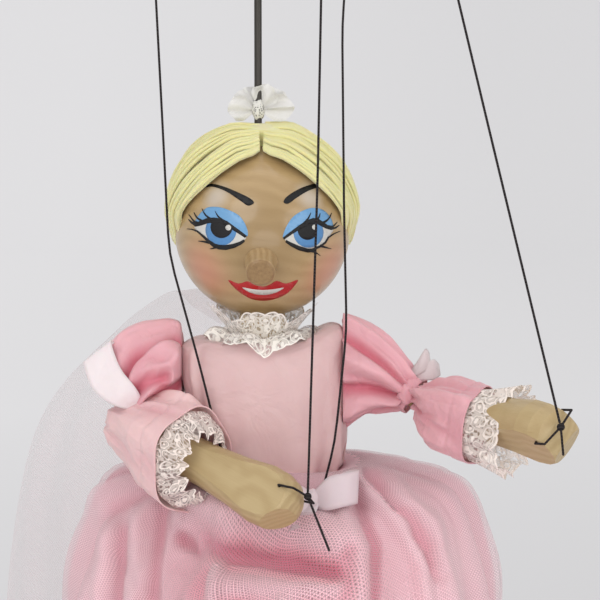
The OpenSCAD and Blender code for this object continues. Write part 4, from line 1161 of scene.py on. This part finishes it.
# Sleeves: how far along, half height, half depth, lift, fold, shift to the side
RIGHT_UPPER_ROWS = [(0, 8, 8, 0, 0, 0), (0.004, 15, 13.4, 0, 0, 0), (0.05, 18, 16, 0.5, 0.5, 0),
                    (0.25, PUFF_R + 0.8, 17.5, 2, 1.2, 0), (0.55, PUFF_R + 0.6, 18, 5, 1.6, 0),
                    (0.82, 14, 12.5, 4, 1, 0), (1, 7.0, 7.0, 0, 0, 0)]
LEFT_UPPER_ROWS = [(0, 9, 8, 0, 0, 0), (0.004, 19, 13, 0, 0, 0), (0.04, 21.8, 15, 0, 0.4, 0),
                   (0.3, 18.6, 15.6, 1, 1.2, 0), (0.6, 14, 13, 1, 1, 0), (0.85, 9.6, 9.2, 0, 0.4, 0),
                   (1, 6.8, 6.8, 0, 0, 0)]
RIGHT_LOWER_ROWS = [(0, 1.5, 1.5, 0, 0, 0), (0.015, 7, 6.6, 0, 0, 0), (0.08, 9.8, 9.2, 0, 0.3, 0),
                    (0.32, 13.8, 12, 0, 0.7, -0.5), (0.62, 18.4, 14.8, 0, 1.1, -2),
                    (1, CUFF_R + 0.4, 17.6, 0, 0.8, -2.6)]
LEFT_LOWER_ROWS = [(0, 5.8, 5.8, 0, 0, 0), (0.14, 9.0, 9.2, -0.5, 0.5, 0), (0.45, 13.4, 15.4, -2.4, 1.2, 0),
                   (1, 14.6, 19.0, -4, 0.6, 0)]
RIGHT_HEM_FACING = unit(50, -66, -10)
LEFT_HEM_FACING = unit(88, -44, -10)

# Folds of the puffed sleeves: (degrees around, share along) points, half width in mm, height
RIGHT_FOLDS = [
    ([(-16, 0.0), (-11, 0.45), (-3, 0.95)], 3.8, -7.5), ([(-44, 0.0), (-40, 0.4), (-32, 0.85)], 5.4, 4.0),
    ([(10, 0.56), (30, 0.98)], 4.2, -5.5), ([(12, 0.05), (26, 0.32), (56, 0.5)], 5.0, 3.6),
    ([(58, 0.12), (60, 0.5), (46, 0.95)], 3.8, -4.0), ([(84, 0.3), (88, 0.8)], 4.6, 2.6),
    ([(-66, 0.05), (-62, 0.9)], 3.4, -3.0)]
LEFT_FOLDS = [
    ([(124, 0.1), (138, 0.5), (150, 0.97)], 3.2, -3.2), ([(168, 0.0), (164, 0.5), (160, 0.97)], 4.2, 2.6),
    ([(200, 0.06), (192, 0.5), (182, 0.97)], 3.4, -4.2), ([(228, 0.1), (216, 0.5), (200, 0.97)], 4.2, 2.8),
    ([(108, 0.2), (118, 0.9)], 3.0, 1.8), ([(250, 0.1), (236, 0.9)], 3.0, -2.6)]
BELL_FOLDS = [
    ([(206, 0.04), (226, 0.55)], 2.4, -4.2), ([(150, 0.05), (140, 0.6), (132, 0.9)], 3.6, 2.2),
    ([(186, 0.1), (176, 0.7)], 3.0, -1.6), ([(214, 0.3), (204, 0.8)], 4.0, 2.0)]
CAPE_FOLDS = [
    ([(44, 0.1), (62, 0.4), (76, 0.85)], 3.6, 3.2), ([(20, 0.12), (36, 0.45), (46, 0.85)], 3.0, -3.2),
    ([(-10, 0.2), (0, 0.6), (6, 0.85)], 3.6, 2.2), ([(-40, 0.1), (-34, 0.8)], 3.2, -2.4),
    ([(98, 0.06), (104, 0.4)], 2.6, -4.0)]
DEGREE = 0.3
SLEEVE_LONG = 32.0
HEM_AT = 0.86
HEM_HIGH = 0.45
SEAM_OUT = 1.4
SEAM_Z = -57
ROUND = 360 * DEGREE


def square_to(way):
    """Two directions square to a way and to each other, the first one level."""
    level = Vector((0, 0, 1)).cross(way).normalized()
    return level, way.cross(level)


def raised(lines, x, y):
    """How far soft folds along lines lift the cloth at x and y."""
    total = 0.0
    spot = Vector((x, y))
    for line, reach, high in lines:
        nearest = 99.0
        for a, b in zip(line, line[1:]):
            a, b = Vector(a), Vector(b)
            t = limit((spot - a).dot(b - a) / (b - a).length_squared)
            nearest = min(nearest, (a + (b - a) * t - spot).length)
        if nearest < reach:
            total += high * (1 - (nearest / reach) ** 2) ** 1.5
    return total


def sleeve_folds(lines):
    """Folds around a sleeve, laid out flat in mm, and again on each side of the seam."""
    return [([(a * DEGREE + turn, v * SLEEVE_LONG) for a, v in line], reach, high)
            for turn in (0, -ROUND, ROUND) for line, reach, high in lines]


def sleeve_spot(start, end, first, last, rows, crumple, gathers, seed, lines, hem=0.0):
    """Gives spot(u, v) of a sleeve from start to end, whose ring planes turn from first to last."""
    folds = sleeve_folds(lines)

    def spot(u, v):
        along, high, deep, lift, fold, side = table_at(rows, v)
        c = mix(start, end, along)
        b, a = square_to(mix(first, last, limit(along)).normalized())
        t = math.tau * u
        x, y = math.cos(t), math.sin(t)
        w = fold * math.sin(5 * t + math.radians(60 * along))
        big = wobble(x * 1.3, y * 1.3, v * 1.8 + seed)
        long_fold = 1 - 2.2 * abs(wobble(x * 2.4 + big, y * 2.4 - big, v * 1.5 + seed * 2))
        small = 1 - 2.2 * abs(wobble(x * 4.4 + big, y * 4.4, v * 4 + seed * 3))
        puff = min(1, 1.8 * math.sin(math.pi * limit(v)))
        w += crumple * (1.2 * big + 1.3 * (long_fold - 0.5) + 0.4 * (small - 0.5)) * puff
        w += raised(folds, 360 * u * DEGREE + 0.8 * big, v * SLEEVE_LONG) * min(1, 6 * v)
        for g_at, g_count, g_depth in gathers:
            w += g_depth * smooth_step(1 - abs(v - g_at) / 0.34) * math.sin(g_count * t + 3 * big)
        rise = w / 4.5
        w += hem * (smooth_step((v - HEM_AT) / 0.02) - 0.9 * hump(v - HEM_AT))
        p = c + a * lift + b * side + b * (deep + w) * x + a * (high + w) * y
        return (p.x, p.y, p.z, rise)
    return spot


def make_sleeve(side, part, body, size, material, spot):
    """A sleeve whose pattern is size and whose cloth is flat when laid out, both in mm."""
    piece = cloth("sleeve_%s_%s" % (side, part), 168, 96, spot, size, material, loop=True, thick=0.5)
    ride(piece, body, "sleeve_cloth", "%s_%s_sleeve" % (side, part))


right_upper = sleeve_spot(Vector((-ARM_X + SEAM_OUT, 0, SEAM_Z)), RIGHT_ELBOW - 3.5 * RIGHT_UPPER,
                          Vector((-1, 0, 0)), RIGHT_UPPER, RIGHT_UPPER_ROWS, 1.5,
                          [(0.12, 19, 0.6), (1.0, 13, 0.9)], 3.1, RIGHT_FOLDS)
left_upper = sleeve_spot(Vector((ARM_X - SEAM_OUT, 0, SEAM_Z)), LEFT_ELBOW - 3.8 * LEFT_UPPER,
                         Vector((1, 0, 0)), LEFT_UPPER, LEFT_UPPER_ROWS, 1.2,
                         [(0.12, 17, 0.5), (1.0, 13, 1.2)], 7.7, LEFT_FOLDS)
right_lower = sleeve_spot(RIGHT_ELBOW - 7 * RIGHT_FORE, RIGHT_ELBOW + 39 * RIGHT_FORE,
                          RIGHT_FORE, RIGHT_HEM_FACING, RIGHT_LOWER_ROWS, 0.9,
                          [(0.2, 13, 0.6)], 11.3, CAPE_FOLDS, HEM_HIGH)
left_lower = sleeve_spot(LEFT_ELBOW + 2.6 * LEFT_FORE, LEFT_ELBOW + 40 * LEFT_FORE,
                         LEFT_FORE, LEFT_HEM_FACING, LEFT_LOWER_ROWS, 1.0,
                         [(0.0, 13, 1.1)], 15.9, BELL_FOLDS, HEM_HIGH)
make_sleeve("right", "upper", "right_arm", (106, 46), SLEEVE_SATIN, right_upper)
make_sleeve("left", "upper", "left_arm", (96, 44), SLEEVE_SATIN, left_upper)
make_sleeve("right", "lower", "right_hand", (102, 50), PALE_SATIN, right_lower)
make_sleeve("left", "lower", "left_hand", (96, 40), SLEEVE_SATIN, left_lower)

GATHER = 1.15


def make_cuff(arm, elbow, direction, facing, start, end, high, deep, side, lean, lift, material):
    """A lace frill from a sleeve's hem; its rings lie square to facing, and it leans out, or in below 0."""
    b, a = square_to(facing)

    def spot(u, v):
        t = math.tau * u
        wave = math.sin(12 * t + 1.5 * wobble(math.cos(t) * 2, math.sin(t) * 2, start)) * (0.3 + 1.5 * v)
        out = lean * (0.6 * v + 0.4 * v * v)
        along = (end - start) * v + (0.7 * math.sin(5 * t) + 0.6 * math.sin(12 * t + 1)) * v
        return (elbow + direction * start + facing * along + b * side + a * lift
                + b * (deep + out + wave) * math.cos(t) + a * (high + out + wave) * math.sin(t))

    wide, long = math.pi * (high + deep) * GATHER, math.hypot(end - start, lean)
    piece = cloth("cuff_" + arm, 300, 12, spot, (wide, long), material, loop=True)
    ride(piece, arm + "_hand", "lace", arm + "_lace_cuff")


make_cuff("right", RIGHT_ELBOW, RIGHT_FORE, RIGHT_HEM_FACING, 37.4, 47.5, CUFF_R - 1.0, 16.4, -2.6, -7.5, 0,
          CUFF_LACE)
make_cuff("left", LEFT_ELBOW, LEFT_FORE, LEFT_HEM_FACING, 37.5, 56.5, 13.4, 17.2, -0.8, 4.2, -3.4,
          LEFT_CUFF_LACE)

# Skirt: height, half width, half depth, dent under the right arm, fold
SKIRT = [(WAIST_Z - 2.5, 25.4, 18.4, 0, 0.2), (WAIST_Z, 28.6, 22, 0, 0.4), (WAIST_Z + 1.5, 40, 31, 12, 1),
         (WAIST_Z - 1.5, 55, 43, 28, 2), (WAIST_Z - 7, 70, 55, 32, 3), (WAIST_Z - 23, SKIRT_R - 7, 66, 24, 4),
         (WAIST_Z - 45, SKIRT_R - 1, 77, 14, 4.5), (WAIST_Z - 68, SKIRT_R, SKIRT_R - 1, 6, 5),
         (HEM_Z, SKIRT_R + 3, SKIRT_R + 3, 0, 5)]
SKIRT_X = 8
SKIRT_Y = 4
TOP_X = 5
WAIST_HALF = 28
FLUTE = 2.4
FLUTES = 16
FRONT_Y = -8

# Folds that the net keeps on the front: (x, z) points, half width, height; a negative height is a hollow
RUCKS = [
    ([(-24, -106), (0, -110), (26, -115)], 10, 12.0), ([(-30, -119), (-9, -124), (27, -127)], 5.2, -8.5),
    ([(-14, -133), (8, -134), (27, -133)], 7.5, 8.0),
    ([(-31, -104), (-32, -114), (-16, -126), (-19, -142)], 3.8, 6.0),
    ([(29, -102), (38, -119), (36, -142)], 4.2, 6.0), ([(35, -99), (44, -118), (42, -142)], 3.2, -4.5),
    ([(36, -97), (51, -109), (61, -127), (64, -147)], 4.0, 4.6),
    ([(42, -95), (58, -108), (69, -130)], 3.4, -4.0),
    ([(52, -99), (67, -112), (75, -147)], 4.2, 4.0), ([(-42, -97), (-48, -112), (-50, -147)], 4.8, 4.4),
    ([(-37, -98), (-40, -114), (-42, -147)], 3.4, -4.0), ([(-57, -94), (-61, -112), (-63, -147)], 4.6, 4.0),
    ([(-13, -116), (4, -120)], 2.8, 2.4), ([(8, -139), (22, -147), (18, -158)], 4.2, 4.0),
    ([(-8, -140), (-4, -152)], 3.4, -4.0), ([(-52, -99), (-55, -116), (-56, -147)], 3.2, -3.4)]


def skirt_spot(inset, drop, fine, seed, rucked=1.0):
    """Gives spot(u, v) of one layer of the skirt, inset from the outside and dropped at the waist."""
    def spot(u, v):
        height, half, deep, dent, fold = table_at(SKIRT, v)
        a = math.tau * u
        past_waist = limit((half - WAIST_HALF) / 40)
        clear_of_waist = limit((half - WAIST_HALF) / 20)
        flute = FLUTE * math.cos(FLUTES * a) * past_waist
        w = math.sin(9 * a + math.radians(20)) * 0.8 + math.sin(5 * a - math.radians(50)) * 0.5
        w = fold * w + flute
        w += fine * past_waist * (0.5 * math.sin(37 * a + seed + 2 * wobble(u * 30, v * 6, seed))
                                  + 1.1 * wobble(math.cos(a) * 3, math.sin(a) * 3, v * 6 + seed))
        w += 0.5 * math.sin(61 * a) * smooth_step(1 - v * 4)
        w -= inset * clear_of_waist
        p = min(1, 0.68 + max(0, half - WAIST_HALF) / 40)
        x = mix(TOP_X, SKIRT_X, limit((WAIST_Z + 2 - height) / 20))
        z = height - dent * max(0, math.cos(a + math.radians(115))) ** 2 - drop * clear_of_waist
        ax = x + (half + w) * squared(math.cos(a), p)
        ay = SKIRT_Y * (x - TOP_X) / (SKIRT_X - TOP_X) + (deep + w) * squared(math.sin(a), p)
        rise = flute / 4
        if ay < FRONT_Y and v > 0.1:
            share = smooth_step((FRONT_Y - ay) / 15)
            out = raised(RUCKS, ax + 1.2 * wobble(ax / 9, z / 9), z + 1.2 * wobble(z / 9, ax / 9)) * share
            rise = mix(rise, out / 5, share)
            out *= rucked
            ax, ay, z = ax + 0.3 * out * math.cos(a), ay - 0.85 * out, z + 0.35 * out
        return (ax, ay, z, rise)
    return spot


def skirt_layer(name, slot_name, across, down, wide, long, material, spot, *stands_for):
    """One layer of the skirt, wide and long in mm when laid out flat."""
    piece = cloth(name, across, down, spot, (wide, long), material, loop=True)
    ride(piece, "frame", slot_name, *stands_for)


skirt_layer("skirt_sheer", "skirt_tulle", 360, 80, 660, 150, SHEER_TULLE,
            skirt_spot(-2.4, -0.4, 1.3, 13.0))
skirt_layer("skirt_overlay", "skirt_tulle", 440, 100, 620, 150, SKIRT_TULLE,
            skirt_spot(0, 0, 1.0, 1.0), "skirt")
skirt_layer("skirt_middle", "skirt_tulle", 360, 80, 560, 145, SKIRT_TULLE,
            skirt_spot(3.2, 1.5, 0.9, 5.0, 0.85))
skirt_layer("skirt_lining", "lining", 300, 70, 500, 140, LINING_SATIN,
            skirt_spot(8.5, 3.5, 0.5, 9.0, 0.45), "underskirt")

# Veil: height, distance from the middle, first and last angle around the puppet
VEIL = [(-44.5, 17, 80, 130), (-34, 33, 92, 146), (-27, 42, 98, 152), (-34, 55, 102, 158),
        (-46, 68, 106, 162), (-64, 86, 109, 165), (-84, 97, 112, 168), (-110, 103, 114, 170),
        (-138, 106, 116, 171), (-166, 108, 117, 172)]


def make_veil():
    def spot(u, v):
        z, r, first, last = table_at(VEIL, v)
        a = math.radians(mix(first, last, u))
        r += (1.4 * math.sin(u * 22 + v * 3) + 1.5 * wobble(u * 6, v * 5)) * min(1, r / 60)
        return (r * math.cos(a), r * math.sin(a), z)

    veil = ride(cloth("veil_net", 160, 140, spot, (110, 190), VEIL_TULLE), "frame", "veil_tulle", "veil")


make_veil()


# Ribbons
def ribbon(name, start, offsets, widths, material, body, steps=40):
    """A ribbon through offsets from start; widths gives the direction and half width across at each."""
    line = [start + Vector(offset) for offset in offsets]

    def spot(u, v):
        dish = 0.35 * math.cos((v - 0.5) * math.pi)
        return through(line, u) + through(widths, u) * (2 * v - 1) + Vector((0, -dish, 0))

    length = sum((b - a).length for a, b in zip(line, line[1:]))
    wide = 2 * Vector(widths[len(widths) // 2]).length
    return ride(cloth(name, steps, 8, spot, (length, wide), material, thick=0.25), body, "ribbon")


def lump(name, centre, size, material, body, seed):
    """A small crumpled knot of ribbon."""
    bm = bmesh.new()
    bmesh.ops.create_icosphere(bm, subdivisions=4, radius=1)
    uv = bm.loops.layers.uv.verify()
    for v in bm.verts:
        d = v.co.copy()
        r = 1 + 0.07 * math.sin(5 * math.atan2(d.z, d.x) + seed) * (1 - abs(d.y)) + 0.08 * wobble(*(d * 2.5))
        v.co = place(*[c + way * half * r for c, way, half in zip(centre, d, size)])
    for face in bm.faces:
        for corner in face.loops:
            corner[uv].uv = (corner.vert.co.x / MM, corner.vert.co.z / MM)
    ride(to_object(bm, name, material), body, "ribbon")


def make_waist_bow():
    knot = Vector((19.5, -41, -102))
    lump("waist_bow_knot", knot, (3.4, 2.6, 4.4), RIBBON_SATIN, "frame", 1.0)
    wide, end = (0.3, 1.5, 6.2), (0, 0.5, 2.6)
    loop = ribbon("waist_bow_loop", knot,
                  [(0, 0, 0), (6, -3, 3.2), (13, -3.6, 4.8), (18, 0.4, 5.2), (14, 4.2, 4.4), (7, 3.2, 2.4),
                   (1, 1.2, 0.4)],
                  [end, wide, wide, wide, wide, (0, 1.2, 5), end], RIBBON_SATIN, "frame")
    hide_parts("waist_bow")
    wide, end = (0.4, 1.2, 5.2), (0, 0.5, 2.2)
    ribbon("waist_bow_small_loop", knot,
           [(0, 0, 0), (-4, -3, 0.6), (-9, -3, 1.5), (-11, 0, 1), (-8, 2.0, 0.6), (-2, 1, 0)],
           [end, wide, wide, wide, wide, end], RIBBON_SATIN, "frame")
    ribbon("waist_bow_tail", knot, [(0, 0, 0), (-1.2, -3.4, -3), (-3, -5.4, -6), (-4.6, -7.6, -9)],
           [(2.6, 0, 1.0), (3.8, 0.4, 1.6), (4.2, 0.6, 1.4), (4.4, 0.6, 1.2)], RIBBON_SATIN, "frame")


BAND_R = 7.6
BAND_WIDE = 5.0
BAND_AT = 4.6


def sleeve_band(side, elbow, direction, material):
    """A ribbon tied around the lower end of an upper sleeve."""
    b, a = square_to(direction)
    centre = elbow - direction * BAND_AT

    def spot(u, v):
        t = math.tau * u
        r = BAND_R + 0.4 * math.sin(7 * t) + 0.5 * math.cos((v - 0.5) * 3)
        return centre + (b * math.cos(t) + a * math.sin(t)) * r + direction * (v - 0.5) * BAND_WIDE

    band = cloth(side + "_sleeve_band", 96, 8, spot, (50, BAND_WIDE), material, loop=True, thick=0.3)
    ride(band, side + "_arm", "ribbon", side + "_sleeve_bow")


def make_right_bow():
    knot = RIGHT_ELBOW - RIGHT_UPPER * 9.2 + Vector((0.6, -10.2, 0.5))
    lump("right_sleeve_knot", knot, (3.2, 2.6, 3.4), RIBBON_SATIN, "right_arm", 2.0)
    wide, end = (5.4, 0.6, 4.2), (1.6, 0, 1.4)
    ribbon("right_sleeve_loop", knot,
           [(0, 0, 0), (-6, -4, 5), (-13, -3, 12), (-17, 2, 22), (-13, 6, 17), (-6, 5, 7), (0, 1, 0)],
           [end, (4.6, 0.4, 3.2), wide, wide, wide, (4.2, 0.4, 3.2), end], SOFT_RIBBON, "right_arm")
    ribbon("right_sleeve_tail", knot, [(0, 0, 0), (3, -3.4, -3), (6, -5, -8), (8, -5.5, -13)],
           [(1.8, 0, 1), (3.2, 0.2, 1.6), (3.6, 0.2, 1.8), (3.8, 0.2, 1.6)], SOFT_RIBBON, "right_arm")


def make_left_bow():
    at = LEFT_ELBOW - LEFT_UPPER * 6.4
    lump("left_sleeve_knot", at + Vector((-0.5, -8.0, -0.5)), (3.0, 2.6, 4.0), SLEEVE_SATIN, "left_arm", 4.0)
    for k, (dx, dz, wide) in enumerate(((9, 12, 4.4), (13, 7.5, 4.0))):
        ribbon("left_sleeve_wing_%d" % (k + 1), at,
               [(0, -3, 6), (0.4 * dx, -4.4, mix(6, dz + 2, 0.45)), (0.78 * dx, -4, mix(6, dz + 2, 0.85)),
                (dx, -2.4 + 2 * k, dz + 1)],
               [(0.5, 0.3, 1.4), (0.1 * wide, 0.6, wide * 0.7), (0, 0.8, wide), (-0.3, 0.4, wide * 0.55)],
               PINK_ORGANZA, "left_arm", 24)


make_waist_bow()
sleeve_band("right", RIGHT_ELBOW, RIGHT_UPPER, RIBBON_SATIN)
sleeve_band("left", LEFT_ELBOW, LEFT_UPPER, SLEEVE_SATIN)
make_right_bow()
make_left_bow()
